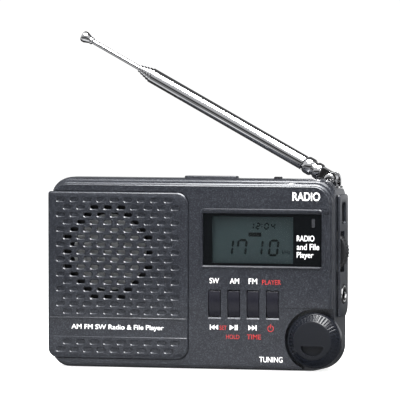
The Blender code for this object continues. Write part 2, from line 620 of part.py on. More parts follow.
# ---- Right side -------------------------------------------------------------------------
def right_side():
    inner = RIGHT + GAP
    outer = RIGHT + SIDE_PROUD
    outline = [(SIDE_FRONT, SIDE_LOW_FRONT + 1.5), (SIDE_FRONT + 1.0, SIDE_LOW_FRONT)]
    outline += arc((SIDE_BACK - 5.0, SIDE_LOW_BACK + 4.5), 5.0, -60, 0, 4)
    outline += arc((SIDE_BACK - 2.0, SIDE_TOP - 2.0), 2.0, 0, 90, 4)
    outline += arc((SIDE_FRONT + 1.0, SIDE_TOP - 1.0), 1.0, 90, 180, 3)
    middle = (sum(point[0] for point in outline) / len(outline), (SIDE_TOP + SIDE_LOW_BACK) / 2)
    rim = [(a + (middle[0] - a) * 0.05, b + (middle[1] - b) * 0.012) for a, b in outline]
    panel = skin([place(outline, "X", inner), place(outline, "X", outer - 0.3),
                  place(rim, "X", outer)])
    usb_cut = rectangle((PORT_Y - 2.95, USB_Z - 4.45), (PORT_Y + 2.95, USB_Z + 4.45),
                        (1.6, 1.6, 1.6, 1.6), 2)
    cuts = [box((RIGHT - 5, RIGHT + 5), (PORT_Y - 2.95, PORT_Y + 2.95),
                (WHEEL_Z - WHEEL_SLOT / 2, WHEEL_Z + WHEEL_SLOT / 2)),
            cylinder(JACK_RING_R + GAP, "X", (PORT_Y, JACK_Z), RIGHT - 5, RIGHT + 5),
            prism(usb_cut, "X", RIGHT - 5, RIGHT + 5)]
    piece("side_panel", panel, PAINT, cuts=cuts)

    wheel = (outer + WHEEL_OUT - WHEEL_R, WHEEL_Z)
    wheel_y = (PORT_Y - WHEEL_THICK / 2, PORT_Y + WHEEL_THICK / 2)
    rings = [place(toothed(WHEEL_R - 1.0, WHEEL_R - 0.6, wheel, WHEEL_TEETH), "Y", wheel_y[0]),
             place(toothed(WHEEL_R - 0.4, WHEEL_R, wheel, WHEEL_TEETH), "Y", wheel_y[0] + 0.5),
             place(toothed(WHEEL_R - 0.4, WHEEL_R, wheel, WHEEL_TEETH), "Y", wheel_y[1] - 0.5),
             place(toothed(WHEEL_R - 1.0, WHEEL_R - 0.6, wheel, WHEEL_TEETH), "Y", wheel_y[1])]
    hub = cylinder(HUB_R, "Y", wheel, MAIN_Y - 1.8, wheel_y[0] + 1, 12)
    piece("volume_wheel", skin(rings), BLACK, joins=[hub],
          origin=(wheel[0], wheel_y[0], wheel[1]))
    pot = cylinder(POT_R, "Y", wheel, MAIN_Y - GAP - 2.6, MAIN_Y - GAP, 20)
    piece("volume_pot", pot, STEEL,
          cuts=[cylinder(HUB_R + GAP, "Y", wheel, MAIN_Y - 2.2, MAIN_Y + 5, 12)])

    ring_out = outer + 0.4
    ring = turned(((JACK_BORE_R + 0.5, RIGHT - 2.6), (JACK_RING_R, RIGHT - 2.6),
                   (JACK_RING_R, ring_out - 0.4), (JACK_RING_R - 0.5, ring_out),
                   (JACK_BORE_R + 0.5, ring_out)), "X", (PORT_Y, JACK_Z), 28, closed=True)
    piece("headphone_ring", ring, CHROME)
    jack_x = (RIGHT - 11.0, RIGHT - 2.6 - GAP)
    jack = box(jack_x, (MAIN_Y + BOARD_THICK + GAP, PORT_Y + 3.4), (JACK_Z - 3.4, JACK_Z + 3.4))
    piece("headphone_jack", jack, BLACK,
          cuts=[cylinder(JACK_BORE_R, "X", (PORT_Y, JACK_Z), jack_x[0] + 1, RIGHT + 5, 16)])
    half_y, half_z = USB_SIZE[0] / 2, USB_SIZE[1] / 2
    usb = box((RIGHT - 8.2, RIGHT + 0.2), (PORT_Y - half_y, PORT_Y + half_y),
              (USB_Z - half_z, USB_Z + half_z))
    mouth = box((RIGHT - 7.0, RIGHT + 5), (PORT_Y - half_y + 0.45, PORT_Y + half_y - 0.45),
                (USB_Z - half_z + 0.45, USB_Z + half_z - 0.45))
    tongue = box((RIGHT - 7.5, RIGHT - 1.5), (PORT_Y - 0.5, PORT_Y + 0.5),
                 (USB_Z - 2.3, USB_Z + 2.3))
    socket = piece("usb_socket", usb, STEEL, cuts=[mouth])
    combine(socket, tongue, "UNION")


# ---- Top keys ---------------------------------------------------------------------------
def top_keys():
    roof = TOP - WALL
    bar_x = (LIGHT_LEFT, LIGHT_LEFT + LIGHT_LENGTH)
    bar_y = (LIGHT_Y - LIGHT_DEPTH / 2, LIGHT_Y + LIGHT_DEPTH / 2)
    rings = []
    for inset, level in ((0.0, roof - GAP - 0.7), (0.0, TOP + LIGHT_PROUD - 0.4),
                         (0.4, TOP + LIGHT_PROUD)):
        outline = rectangle((bar_x[0] + inset, bar_y[0] + inset),
                            (bar_x[1] - inset, bar_y[1] - inset), (1, 1, 1, 1), 3)
        rings.append(place(outline, "Z", level))
    flange = box((bar_x[0] - 0.8, bar_x[1] + 0.8), (bar_y[0] - 0.5, bar_y[1]),
                 (roof - GAP - 0.72, roof - GAP))
    piece("light_bar", skin(rings), PAINT, joins=[flange],
          origin=((bar_x[0] + bar_x[1]) / 2, LIGHT_Y, roof))
    middle = (bar_x[0] + bar_x[1]) / 2
    base = TOP_BOARD_Z + GAP
    body = box((middle - 3, middle + 3), (LIGHT_Y - 1.8, LIGHT_Y + 1.4), (base, base + 1.6))
    button = cylinder(1.0, "Z", (middle, LIGHT_Y - 0.2), base + 1.0,
                      roof - GAP - 0.72 - LIGHT_TRAVEL - GAP, 12)
    piece("light_switch", body, BLACK, joins=[button])

    slider = box((LOCK_X - LOCK_LENGTH / 2, LOCK_X + LOCK_LENGTH / 2),
                 (LIGHT_Y - 1.2, LIGHT_Y + 1.2), (roof - GAP - 0.8, TOP + 0.8))
    foot = box((LOCK_X - 2.2, LOCK_X + 2.2), (LIGHT_Y - 1.6, LIGHT_Y + 1.6),
               (roof - GAP - 0.82, roof - GAP))
    piece("lock_slider", slider, BLACK, joins=[foot], origin=(LOCK_X, LIGHT_Y, roof))
    middle = LOCK_X + LOCK_TRAVEL / 2
    piece("lock_switch", box((middle - 4.2, middle + 4.2), (LIGHT_Y - 1.8, LIGHT_Y + 1.4),
                             (base, roof - GAP * 2 - 0.82)), STEEL)


# ---- Speaker ----------------------------------------------------------------------------
def speaker():
    centre = (SPEAKER_X, SPEAKER_Z)
    front = INNER_FRONT + GAP
    back_r = MAGNET_R + 2.0
    frame = ((SPEAKER_R, front), (SPEAKER_R, front + 1.0), (SPEAKER_R - 2.0, front + 1.2),
             (back_r, front + 7.0), (back_r, front + 8.4), (5.0, front + 8.4),
             (5.0, front + 7.6), (back_r - 1.0, front + 7.6), (back_r - 1.0, front + 6.6),
             (SPEAKER_R - 2.8, front + 0.6), (SPEAKER_R - 1.6, front))
    piece("speaker_frame", turned(frame, "Y", centre, 36, closed=True), STEEL)
    cone = [(0, front + 0.9), (4.0, front + 1.2), (7.5, front + 2.6), (9.0, front + 3.2),
            (CONE_R - 4.8, front + 1.0), (CONE_R - 2.6, front + 0.3), (CONE_R, front + 0.3),
            (CONE_R, front + 0.6), (CONE_R - 2.6, front + 0.6), (CONE_R - 4.8, front + 1.4),
            (9.0, front + 3.7), (7.5, front + 3.1), (4.0, front + 1.7), (0, front + 1.4)]
    piece("speaker_cone", turned(cone, "Y", centre, 28), PAPER)
    magnet = ((0, front + 8.7), (MAGNET_R, front + 8.7), (MAGNET_R, front + 13.4),
              (MAGNET_R - 2.0, front + 14.0), (0, front + 14.0))
    piece("speaker_magnet", turned(magnet, "Y", centre, 24), FERRITE)


# ---- Ferrite aerial for medium wave -----------------------------------------------------
def ferrite():
    centre = (MAIN_Y + BOARD_THICK + FERRITE_R + 1.6, BOARD_HIGH - 5.0)
    rod = cylinder(FERRITE_R, "X", centre, FERRITE_LEFT, FERRITE_RIGHT, 20)
    piece("ferrite_rod", rod, FERRITE)
    inner = FERRITE_R + GAP
    coil_right = COIL_LEFT + COIL_LENGTH
    coil = turned(((inner, COIL_LEFT), (inner + 0.8, COIL_LEFT), (inner + 0.8, coil_right),
                   (inner, coil_right)), "X", centre, 20, closed=True)
    piece("antenna_coil", coil, COPPER)


# ---- Battery bay ------------------------------------------------------------------------
def battery_bay():
    deep = (TRAY_FRONT, INNER_BACK - GAP)
    outer = box((TRAY_LEFT, TRAY_RIGHT), deep, (TRAY_LOW, TRAY_HIGH))
    inside = box((TRAY_LEFT + TRAY_WALL, TRAY_RIGHT - TRAY_WALL), (deep[0] + TRAY_WALL, BACK + 5),
                 (TRAY_LOW + TRAY_WALL, TRAY_HIGH - TRAY_WALL))
    piece("battery_tray", outer, BLACK, cuts=[inside])
    cell_y = deep[1] - CELL_R
    start = TRAY_LEFT + TRAY_WALL + 2.2
    for index, sign in enumerate((1, -1)):
        z = TRAY_LOW + TRAY_WALL + GAP + CELL_R + index * (2 * CELL_R + GAP)
        low = start + (CELL_BUTTON if sign < 0 else 0)
        profile = [(0, 0), (6.4, 0), (CELL_R, 0.7), (CELL_R, CELL_LENGTH - 0.7),
                   (6.4, CELL_LENGTH), (2.7, CELL_LENGTH), (2.7, CELL_LENGTH + CELL_BUTTON),
                   (0, CELL_LENGTH + CELL_BUTTON)]
        if sign < 0:
            low += CELL_LENGTH
        placed = [(radius, low + sign * level) for radius, level in profile]
        piece("battery_%d" % (index + 1), turned(placed, "X", (cell_y, z), 24), CELL)
    for name, x in (("contact_plate_left", TRAY_LEFT + TRAY_WALL + GAP),
                    ("contact_plate_right", TRAY_RIGHT - TRAY_WALL - GAP - 0.4)):
        piece(name, box((x, x + 0.4), (cell_y - 5.5, cell_y + 5.5),
                        (TRAY_LOW + TRAY_WALL + 2.0, TRAY_HIGH - TRAY_WALL - 2.0)), STEEL)
    door = box((TRAY_LEFT + TRAY_WALL + GAP, TRAY_RIGHT - TRAY_WALL - GAP),
               (BACK - DOOR_THICK, BACK), (DOOR_LOW, DOOR_HIGH))
    piece("battery_door", door, PAINT, origin=((TRAY_LEFT + TRAY_RIGHT) / 2, BACK - 0.5,
                                               DOOR_LOW + 0.4))


def kickstand():
    outline = rectangle((STAND_LEFT, STAND_LOW), (STAND_RIGHT, STAND_HIGH), (4, 4, 0, 0), 4)
    plate = prism(outline, "Y", BACK - 0.2 - STAND_THICK, BACK - 0.2)
    piece("kickstand", plate, PAINT,
          origin=((STAND_LEFT + STAND_RIGHT) / 2, BACK - 1.0, STAND_HIGH - 0.7))


def screws():
    for index, (x, z) in enumerate(POSTS):
        head = BACK - 0.9 + GAP
        profile = ((0, POST_END - 6), (SCREW_R * 0.5, POST_END - 6), (SCREW_R, POST_END - 5),
                   (SCREW_R, head), (HEAD_R, head), (HEAD_R, head + 0.3), (1.6, head + 0.6),
                   (0, head + 0.6))
        piece("case_screw_%d" % (index + 1), turned(profile, "Y", (x, z), 12), STEEL)


# ---- Antenna ----------------------------------------------------------------------------
PIVOT = (PIVOT_X, PIVOT_Y, PIVOT_Z)
ALONG = Vector((-math.cos(RAISE), 0.0, math.sin(RAISE)))


def aim(mesh):
    """Turn a shape built along +X from the origin to the antenna's direction at its pivot."""
    turn = Matrix.Rotation(math.pi + RAISE, 4, "Y")
    mesh.transform(Matrix.Translation(Vector(PIVOT) * MM) @ turn)
    return mesh


def knuckle():
    ledge_z = TOP - LEDGE_DROP
    lug_in = PIVOT_Y - TONGUE_THICK / 2 - GAP
    lug_out = lug_in - LUG_THICK
    disc_top = PIVOT_Z - TONGUE_R - GAP
    disc = turned(((0, ledge_z - STEM_LENGTH), (STEM_R, ledge_z - STEM_LENGTH),
                   (STEM_R, ledge_z + GAP), (4.6, ledge_z + GAP), (4.6, disc_top), (0, disc_top)),
                  "Z", (PIVOT_X, PIVOT_Y), 24)
    lug = [(PIVOT_X - LUG_R, disc_top - 0.3), (PIVOT_X + LUG_R, disc_top - 0.3)]
    lug += arc((PIVOT_X, PIVOT_Z), LUG_R, 0, 180, 10)
    far = 2 * PIVOT_Y - lug_in
    joins = [prism(lug, "Y", lug_out, lug_in), prism(lug, "Y", far, far + LUG_THICK)]
    cuts = [cylinder(PIN_R + GAP, "Y", (PIVOT_X, PIVOT_Z), lug_out - 3, far + 5, 16)]
    piece("swivel_base", disc, CHROME, joins=joins, cuts=cuts, origin=PIVOT)
    nut_top = TOP - NUT_DROP - GAP
    nut = turned(((STEM_R + GAP, nut_top), (NUT_R, nut_top), (NUT_R, nut_top - 2.4),
                  (STEM_R + GAP, nut_top - 2.4)), "Z", (PIVOT_X, PIVOT_Y), 12, closed=True)
    piece("swivel_nut", nut, STEEL, origin=PIVOT)
    pin = turned(((0, lug_out - GAP - 0.6), (1.6, lug_out - GAP - 0.6), (2.2, lug_out - GAP - 0.3),
                  (2.2, lug_out - GAP), (PIN_R, lug_out - GAP), (PIN_R, far + LUG_THICK + 0.4),
                  (0, far + LUG_THICK + 0.4)), "Y", (PIVOT_X, PIVOT_Z), 16)
    piece("pivot_screw", pin, CHROME, origin=PIVOT)


def telescope():
    half = TONGUE_THICK / 2
    tongue_outline = arc((0, 0), TONGUE_R, 90, 270, 10)
    tongue_outline += [(COLLAR_FROM + 0.2, -TONGUE_R), (COLLAR_FROM + 0.2, TONGUE_R)]
    tongue = prism(tongue_outline, "Y", -half, half)
    collar = turned(((0, COLLAR_FROM), (3.1, COLLAR_FROM), (3.5, COLLAR_FROM + 0.5),
                     (3.5, 8.0), (3.0, 8.5), (3.0, 9.0), (COLLAR_R, 9.5), (COLLAR_R, 12.6),
                     (3.4, COLLAR_TO - 0.3), (3.4 - 0.5, COLLAR_TO - 0.3),
                     (0, COLLAR_TO - 0.3)), "X", (0, 0), 24)
    bore = cylinder(PIN_R + GAP, "Y", (0, 0), -5, 5, 16)
    socket = cylinder(TUBE_RADII[0] - 0.9, "X", (0, 0), COLLAR_TO - 2.0, COLLAR_TO + 5, 16)
    piece("antenna_tongue", aim(tongue), CHROME, joins=[aim(collar)],
          cuts=[aim(bore), aim(socket)], origin=PIVOT)
    start = COLLAR_TO
    end = TUBE_TO
    for index, radius in enumerate(TUBE_RADII):
        inner = radius - TUBE_WALL
        profile = ((inner, start), (radius, start), (radius, end - 0.3), (radius - 0.1, end),
                   (inner, end))
        tube = turned(profile, "X", (0, 0), 16, closed=True)
        origin = Vector(PIVOT) + ALONG * start
        piece("antenna_tube_%d" % (index + 1), aim(tube), CHROME, origin=origin)
        start += 0.6
        end += STEP_OUT
    end -= STEP_OUT
    rod_end = end + ROD_OUT
    rod = cylinder(ROD_R, "X", (0, 0), start + ROD_OUT, rod_end, 12)
    origin = Vector(PIVOT) + ALONG * (start + ROD_OUT)
    piece("antenna_rod", aim(rod), CHROME, origin=origin)
    tip = turned(((0, rod_end + GAP), (1.5, rod_end + GAP), (1.7, rod_end + 1.4),
                  (TIP_R, rod_end + TIP_LENGTH - 1.6), (TIP_R, rod_end + TIP_LENGTH - 0.5),
                  (TIP_R - 0.5, rod_end + TIP_LENGTH), (0, rod_end + TIP_LENGTH)),
                 "X", (0, 0), 20)
    piece("antenna_tip", aim(tip), CHROME, origin=origin)


front_shell()
rear_shell()
grille_panel()
display()
keys()
boards()
tuning()
right_side()
top_keys()
speaker()
ferrite()
battery_bay()
kickstand()
screws()
knuckle()
telescope()
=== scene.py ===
import json
import math

import bmesh
import bpy
from mathutils import Matrix, Vector


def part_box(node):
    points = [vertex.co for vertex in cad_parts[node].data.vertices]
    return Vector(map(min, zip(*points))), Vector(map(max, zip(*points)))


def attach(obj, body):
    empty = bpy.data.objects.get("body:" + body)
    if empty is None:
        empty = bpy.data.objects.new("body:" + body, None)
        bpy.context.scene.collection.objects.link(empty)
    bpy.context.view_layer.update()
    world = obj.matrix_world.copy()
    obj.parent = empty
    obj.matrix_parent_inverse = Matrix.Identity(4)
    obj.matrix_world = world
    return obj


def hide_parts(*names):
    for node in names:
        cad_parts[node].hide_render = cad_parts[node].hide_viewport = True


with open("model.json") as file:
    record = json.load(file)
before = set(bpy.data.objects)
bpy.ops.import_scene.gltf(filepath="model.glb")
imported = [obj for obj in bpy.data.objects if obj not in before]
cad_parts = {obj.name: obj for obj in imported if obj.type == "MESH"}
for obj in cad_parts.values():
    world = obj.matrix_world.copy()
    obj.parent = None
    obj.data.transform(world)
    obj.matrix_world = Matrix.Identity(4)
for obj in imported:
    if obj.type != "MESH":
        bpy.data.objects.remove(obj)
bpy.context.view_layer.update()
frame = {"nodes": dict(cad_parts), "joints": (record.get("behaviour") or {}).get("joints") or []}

MM = 0.001

# ---- Studio -------------------------------------------------------------------------------
# A long lens a little to the right of the front and just above the table, soft lights overhead,
# and a room with dark and light bands, so that gloss and chrome keep their contrast. The room
# and every finish are trees of nodes, which two small classes write as sums on sockets.
AZIMUTH = math.radians(17.388)
ELEVATION = math.radians(2.821)
DISTANCE = 2.4477
TARGET = Vector((0, 0, 0.040))
AIM_SIDE = 0.00093
AIM_UP = 0.0306
LENS = 523.96

backwards = Vector((math.sin(AZIMUTH) * math.cos(ELEVATION),
                    -math.cos(AZIMUTH) * math.cos(ELEVATION), math.sin(ELEVATION)))
sideways = Vector((math.cos(AZIMUTH), math.sin(AZIMUTH), 0))
upwards = backwards.cross(sideways)
eye = TARGET + backwards * DISTANCE
aim = TARGET + sideways * AIM_SIDE + upwards * AIM_UP
camera_data = bpy.data.cameras.new("camera")
camera_data.lens = LENS
camera_data.clip_end = 200
camera = bpy.data.objects.new("camera", camera_data)
camera.location = eye
camera.rotation_euler = (aim - eye).to_track_quat("-Z", "Y").to_euler()
bpy.context.scene.collection.objects.link(camera)
bpy.context.scene.camera = camera
bpy.context.scene.view_settings.view_transform = "Standard"


class Value:
    """An output socket that adds Math nodes when it is used in a sum."""

    def __init__(self, tree, socket):
        self.tree = tree
        self.socket = socket

    def maths(self, operation, first, second):
        return self.tree.node("ShaderNodeMath", {"operation": operation}, {0: first, 1: second})

    def __add__(self, other):
        return self.maths("ADD", self, other)

    def __sub__(self, other):
        return self.maths("SUBTRACT", self, other)

    def __rsub__(self, other):
        return self.maths("SUBTRACT", other, self)

    def __mul__(self, other):
        return self.maths("MULTIPLY", self, other)

    def __gt__(self, other):
        return self.maths("GREATER_THAN", self, other)

    __radd__ = __add__
    __rmul__ = __mul__


class Tree:
    """A tree of nodes that grows node by node."""

    def __init__(self, tree):
        self.tree = tree

    def node(self, kind, settings=None, inputs=None, output=0):
        """Add a node: its settings first, then a value or a link for each named socket."""
        made = self.tree.nodes.new(kind)
        for key, value in (settings or {}).items():
            if key == "stops":
                while len(made.color_ramp.elements) < len(value):
                    made.color_ramp.elements.new(0.5)
                for stop, (position, colour) in zip(made.color_ramp.elements, value):
                    stop.position = position
                    stop.color = colour
            else:
                setattr(made, key, value)
        for key, value in (inputs or {}).items():
            if isinstance(value, Value):
                self.tree.links.new(value.socket, made.inputs[key])
            else:
                made.inputs[key].default_value = value
        return Value(self, made.outputs[output]) if output is not None else None


ROOM_STRENGTH = 0.7
SEEN_STRENGTH = 1.05
world = bpy.data.worlds.new("room")
bpy.context.scene.world = world
world.use_nodes = True
room = Tree(world.node_tree)
room.tree.nodes.clear()
direction = room.node("ShaderNodeTexCoord", output="Generated")
height = room.node("ShaderNodeSeparateXYZ", {}, {0: direction}, "Z")
depth = room.node("ShaderNodeSeparateXYZ", {}, {0: direction}, "Y")
turn = room.node("ShaderNodeMath", {"operation": "ARCTAN2"}, {0: height, 1: depth})
share = room.node("ShaderNodeMapRange", {}, {"From Min": -math.pi, "From Max": math.pi,
                                             "Value": turn}, "Result")
levels = ((0.0, 0.03), (0.025, 0.04), (0.035, 0.28), (0.11, 0.24), (0.125, 0.95), (0.215, 0.95),
          (0.235, 0.01), (0.47, 0.10), (0.497, 0.30), (0.503, 1.0), (0.53, 0.9), (0.545, 0.10),
          (0.725, 0.12), (0.755, 0.9), (0.93, 0.8), (0.975, 0.45), (0.99, 0.05), (1.0, 0.03))
bands = room.node("ShaderNodeValToRGB", {"stops": [
    (at, (level, level * 1.01, level * 1.03, 1)) for at, level in levels]}, {"Fac": share})
lit = room.node("ShaderNodeBackground", {}, {"Color": bands, "Strength": ROOM_STRENGTH})
seen = room.node("ShaderNodeBackground", {}, {"Color": (1, 1, 1, 1), "Strength": SEEN_STRENGTH})
camera_ray = room.node("ShaderNodeLightPath", output="Is Camera Ray")
choice = room.node("ShaderNodeMixShader", {}, {0: camera_ray, 1: lit, 2: seen})
room.node("ShaderNodeOutputWorld", {}, {"Surface": choice}, None)


def soft_light(name, place, size, power, colour=(1, 1, 1)):
    """A square soft light that points at the middle of the receiver."""
    data = bpy.data.lights.new(name, "AREA")
    data.shape = "RECTANGLE"
    data.size, data.size_y = size
    data.energy = power
    data.color = colour
    light = bpy.data.objects.new(name, data)
    light.location = place
    light.visible_camera = False
    towards = Vector((0, 0, 0.05)) - light.location
    light.rotation_euler = towards.to_track_quat("-Z", "Y").to_euler()
    bpy.context.scene.collection.objects.link(light)


soft_light("overhead", (0.15, -0.34, 1.1), (1.1, 0.5), 42)
soft_light("right_side", (1.1, 0.25, 0.35), (0.4, 0.7), 1.2)
soft_light("front_high", (0.25, -0.9, 1.0), (0.5, 0.3), 6)
soft_light("table_bounce", (0, -0.10, 0.006), (0.3, 0.04), 0.020)

# ---- Painted case finish ------------------------------------------------------------------
# The case is sprayed dark charcoal with fine metal flakes under a satin lacquer. This section
# also holds the class that writes every finish as sums on node sockets.
class Finish(Tree):
    """A material with one Principled shader, built up node by node."""

    def __init__(self, name, colour, roughness, metallic=0.0, **constants):
        self.name = name
        self.material = bpy.data.materials.new(name)
        self.material.use_nodes = True
        super().__init__(self.material.node_tree)
        self.shader = self.tree.nodes["Principled BSDF"]
        self.shader.inputs["Base Color"].default_value = (*colour, 1)
        self.shader.inputs["Roughness"].default_value = roughness
        self.shader.inputs["Metallic"].default_value = metallic
        for socket, value in constants.items():
            self.shader.inputs[socket.replace("_", " ")].default_value = value
        self.place = self.node("ShaderNodeTexCoord", output="Object")

    def feed(self, socket, value):
        self.tree.links.new(value.socket, self.shader.inputs[socket])
        return self

    def noise(self, size, detail=2.0, stretch=None):
        """Noise whose features are about size millimetres across."""
        place = self.place
        if stretch:
            place = self.node("ShaderNodeMapping", {}, {"Vector": place, "Scale": stretch})
        return self.node("ShaderNodeTexNoise", {},
                         {"Vector": place, "Scale": 1 / (size * MM), "Detail": detail})

    def patchy(self, start, spread, size):
        """Gloss that wanders upwards from start, in patches about size millimetres across."""
        return self.feed("Roughness", start + self.noise(size) * spread)

    def flecks(self, size, output="Color"):
        """Cells about size millimetres across, each with its own random value."""
        cell = self.node("ShaderNodeTexVoronoi", {},
                         {"Vector": self.place, "Scale": 1 / (size * MM)}, output)
        if output == "Distance":
            return cell
        return self.node("ShaderNodeSeparateColor", {}, {0: cell})

    def blend(self, factor, first, second):
        """A colour between two others."""
        return self.node("ShaderNodeMix", {"data_type": "RGBA"},
                         {0: factor, 6: first, 7: second}, 2)

    def ramp(self, value, *stops):
        return self.node("ShaderNodeValToRGB",
                         {"stops": [(at, (level, level, level, 1)) for at, level in stops]},
                         {"Fac": value})

    def bump(self, height, depth, strength=1.0):
        """Relief of about depth millimetres where height goes from 0 to 1."""
        relief = self.node("ShaderNodeBump", {},
                           {"Height": height, "Distance": depth * MM, "Strength": strength})
        return self.feed("Normal", relief)


def flake_paint(name, dark, light, roughness, metallic):
    finish = Finish(name, dark, roughness, metallic, Coat_Weight=0.5, Coat_Roughness=0.10)
    flake = finish.ramp(finish.flecks(0.30), (0.60, 0.0), (0.97, 1.0))
    cloud = finish.noise(9.0, 3.0)
    tone = flake * 0.75 + (cloud - 0.5) * 0.25 + 0.18
    finish.feed("Base Color", finish.blend(tone, (*dark, 1), (*light, 1)))
    finish.feed("Roughness", roughness + (flake - 0.4) * 0.10 + (cloud - 0.5) * 0.06)
    finish.bump(finish.flecks(0.16) * 0.6 + finish.noise(0.5) * 0.4, 0.008, 0.5)
    return finish


case_paint = flake_paint("case_paint", (0.009, 0.010, 0.014), (0.050, 0.055, 0.067), 0.36, 0.30)
grille_paint = flake_paint("grille_paint", (0.009, 0.010, 0.014), (0.048, 0.053, 0.065), 0.36,
                           0.30)


def coat(item, finish):
    item.data.materials.clear()
    if finish:
        item.data.materials.append(finish.material)


# ---- Front case ---------------------------------------------------------------------------
# The front half of the case, moulded in one piece: a flat face inside raised steps that run
# round it, with seats for the grille and display, openings for the keys and a knob recess.
LEFT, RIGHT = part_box("rear_shell")[0].x / MM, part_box("rear_shell")[1].x / MM
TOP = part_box("rear_shell")[1].z / MM
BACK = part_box("rear_shell")[1].y / MM
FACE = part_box("front_shell")[0].y / MM
PART_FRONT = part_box("rear_shell")[0].y / MM - 0.3
CORNER = 8.0
KNOB_CORNER = 11.0
WALL = 1.8
WELL_R = 13.0
WELL_FLOOR = FACE + 4.1


def middle(node):
    """The middle of a CAD node's box in millimetres."""
    low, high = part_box(node)
    return (low + high) / 2 / MM


def low_of(node):
    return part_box(node)[0] / MM


def high_of(node):
    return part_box(node)[1] / MM


def loop(mesh, low, high, level, radii, segments=10):
    """A closed ring of edges across Y: a rectangle whose corners are rounded by a bevel."""
    before = set(mesh.edges)
    corners = [mesh.verts.new((x * MM, level * MM, z * MM)) for x, z in
               ((low[0], low[1]), (high[0], low[1]), (high[0], high[1]), (low[0], high[1]))]
    mesh.faces.new(corners)
    for corner, radius in zip(corners, radii):
        if radius:
            bmesh.ops.bevel(mesh, geom=[corner], offset=radius * MM, offset_type="OFFSET",
                            segments=segments, profile=0.5, affect="VERTICES", material=-1)
    ring = [edge for edge in mesh.edges if edge not in before]
    faces = list({face for edge in ring for face in edge.link_faces})
    bmesh.ops.delete(mesh, geom=faces, context="FACES_ONLY")
    return ring


def lofted(levels, segments=10):
    """A solid through rounded rectangles, each given as (low, high, level, radii)."""
    mesh = bmesh.new()
    rings = [loop(mesh, *level, segments) for level in levels]
    for first, second in zip(rings, rings[1:]):
        bmesh.ops.bridge_loops(mesh, edges=first + second)
    for ring in (rings[0], rings[-1]):
        bmesh.ops.contextual_create(mesh, geom=ring)
    bmesh.ops.recalc_face_normals(mesh, faces=mesh.faces)
    return mesh


def block(low, high, start, end, radius=0.0, segments=6):
    """A plain or round-cornered block between two levels of Y."""
    radii = (radius,) * 4
    return lofted([(low, high, start, radii), (low, high, end, radii)], segments)


def prism(points, start, end):
    """A flat outline of (x, z) points, extruded from one level of Y to another."""
    mesh = bmesh.new()
    corners = [mesh.verts.new((x * MM, start * MM, z * MM)) for x, z in points]
    face = mesh.faces.new(corners)
    grown = bmesh.ops.extrude_face_region(mesh, geom=[face])["geom"]
    moved = [item for item in grown if isinstance(item, bmesh.types.BMVert)]
    bmesh.ops.translate(mesh, verts=moved, vec=(0, (end - start) * MM, 0))
    bmesh.ops.recalc_face_normals(mesh, faces=mesh.faces)
    return mesh


def spun(profile, centre=(0, 0), steps=48, closed=False, base=0.0):
    """Turn (radius, level above base) points about a line along Y through centre."""
    mesh = bmesh.new()
    points = [mesh.verts.new((radius * MM, (base + level) * MM, 0)) for radius, level in profile]
    pairs = list(zip(points, points[1:]))
    if closed:
        pairs.append((points[-1], points[0]))
    edges = [mesh.edges.new(pair) for pair in pairs]
    bmesh.ops.spin(mesh, geom=points + edges, cent=(0, 0, 0), axis=(0, 1, 0), angle=math.tau,
                   steps=steps, use_merge=True)
    bmesh.ops.remove_doubles(mesh, verts=mesh.verts, dist=1e-7)
    bmesh.ops.recalc_face_normals(mesh, faces=mesh.faces)
    bmesh.ops.translate(mesh, verts=mesh.verts, vec=(centre[0] * MM, 0, centre[1] * MM))
    return mesh


def disc(radius, centre, start, end, steps=48):
    return spun(((0, start), (radius, start), (radius, end), (0, end)), centre, steps)


def moved(mesh, matrix):
    mesh.transform(matrix)
    bmesh.ops.recalc_face_normals(mesh, faces=mesh.faces)
    return mesh


def joined(meshes):
    """Several meshes as one, kept as separate shells."""
    result = bmesh.new()
    for mesh in meshes:
        data = bpy.data.meshes.new("part")
        mesh.to_mesh(data)
        mesh.free()
        result.from_mesh(data)
        bpy.data.meshes.remove(data)
    return result


def new_object(name, mesh, finish=None):
    data = bpy.data.meshes.new(name)
    mesh.to_mesh(data)
    mesh.free()
    item = bpy.data.objects.new(name, data)
    bpy.context.scene.collection.objects.link(item)
    coat(item, finish)
    return item


def combine(item, tool_mesh, operation="DIFFERENCE"):
    """Cut a shape out of a piece, or join it on, and keep the result as its mesh."""
    tool = new_object("tool", tool_mesh)
    step = item.modifiers.new(operation, "BOOLEAN")
    step.operation = operation
    step.object = tool
    graph = bpy.context.evaluated_depsgraph_get()
    result = bpy.data.meshes.new_from_object(item.evaluated_get(graph))
    item.modifiers.clear()
    before = item.data
    item.data = result
    bpy.data.meshes.remove(before)
    bpy.data.objects.remove(tool, do_unlink=True)


def shaped(mesh, *tool_meshes):
    """A cutter shape with other shapes taken out of it."""
    item = new_object("shape", mesh)
    for tool_mesh in tool_meshes:
        combine(item, tool_mesh)
    result = bmesh.new()
    result.from_mesh(item.data)
    bpy.data.objects.remove(item, do_unlink=True)
    return result


def piece(name, mesh, finish, body, replaces=(), cuts=(), joins=(), edge=0.12,
          segments=2, sharp=40):
    """Carve and coat a piece, round its edges by edge millimetres, tie it to its body, and hide the
    CAD parts it replaces.
    """
    item = new_object(name, mesh, finish)
    for shape in joins:
        combine(item, shape, "UNION")
    for shape in cuts:
        combine(item, shape)
    coat(item, finish)
    if edge:
        rounding = item.modifiers.new("edges", "BEVEL")
        rounding.width = edge * MM
        rounding.segments = segments
        rounding.limit_method = "ANGLE"
        rounding.angle_limit = math.radians(30)
        rounding.use_clamp_overlap = True
    item.data.shade_smooth()
    item.data.set_sharp_from_angle(angle=math.radians(sharp))
    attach(item, body)
    if replaces:
        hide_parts(*replaces)


def case_ring(depth, side, top, bottom):
    low = (LEFT + side, bottom)
    high = (RIGHT - side, TOP - top)
    radii = (CORNER - side, KNOB_CORNER - side, CORNER - side, CORNER - side)
    return low, high, FACE + depth, radii


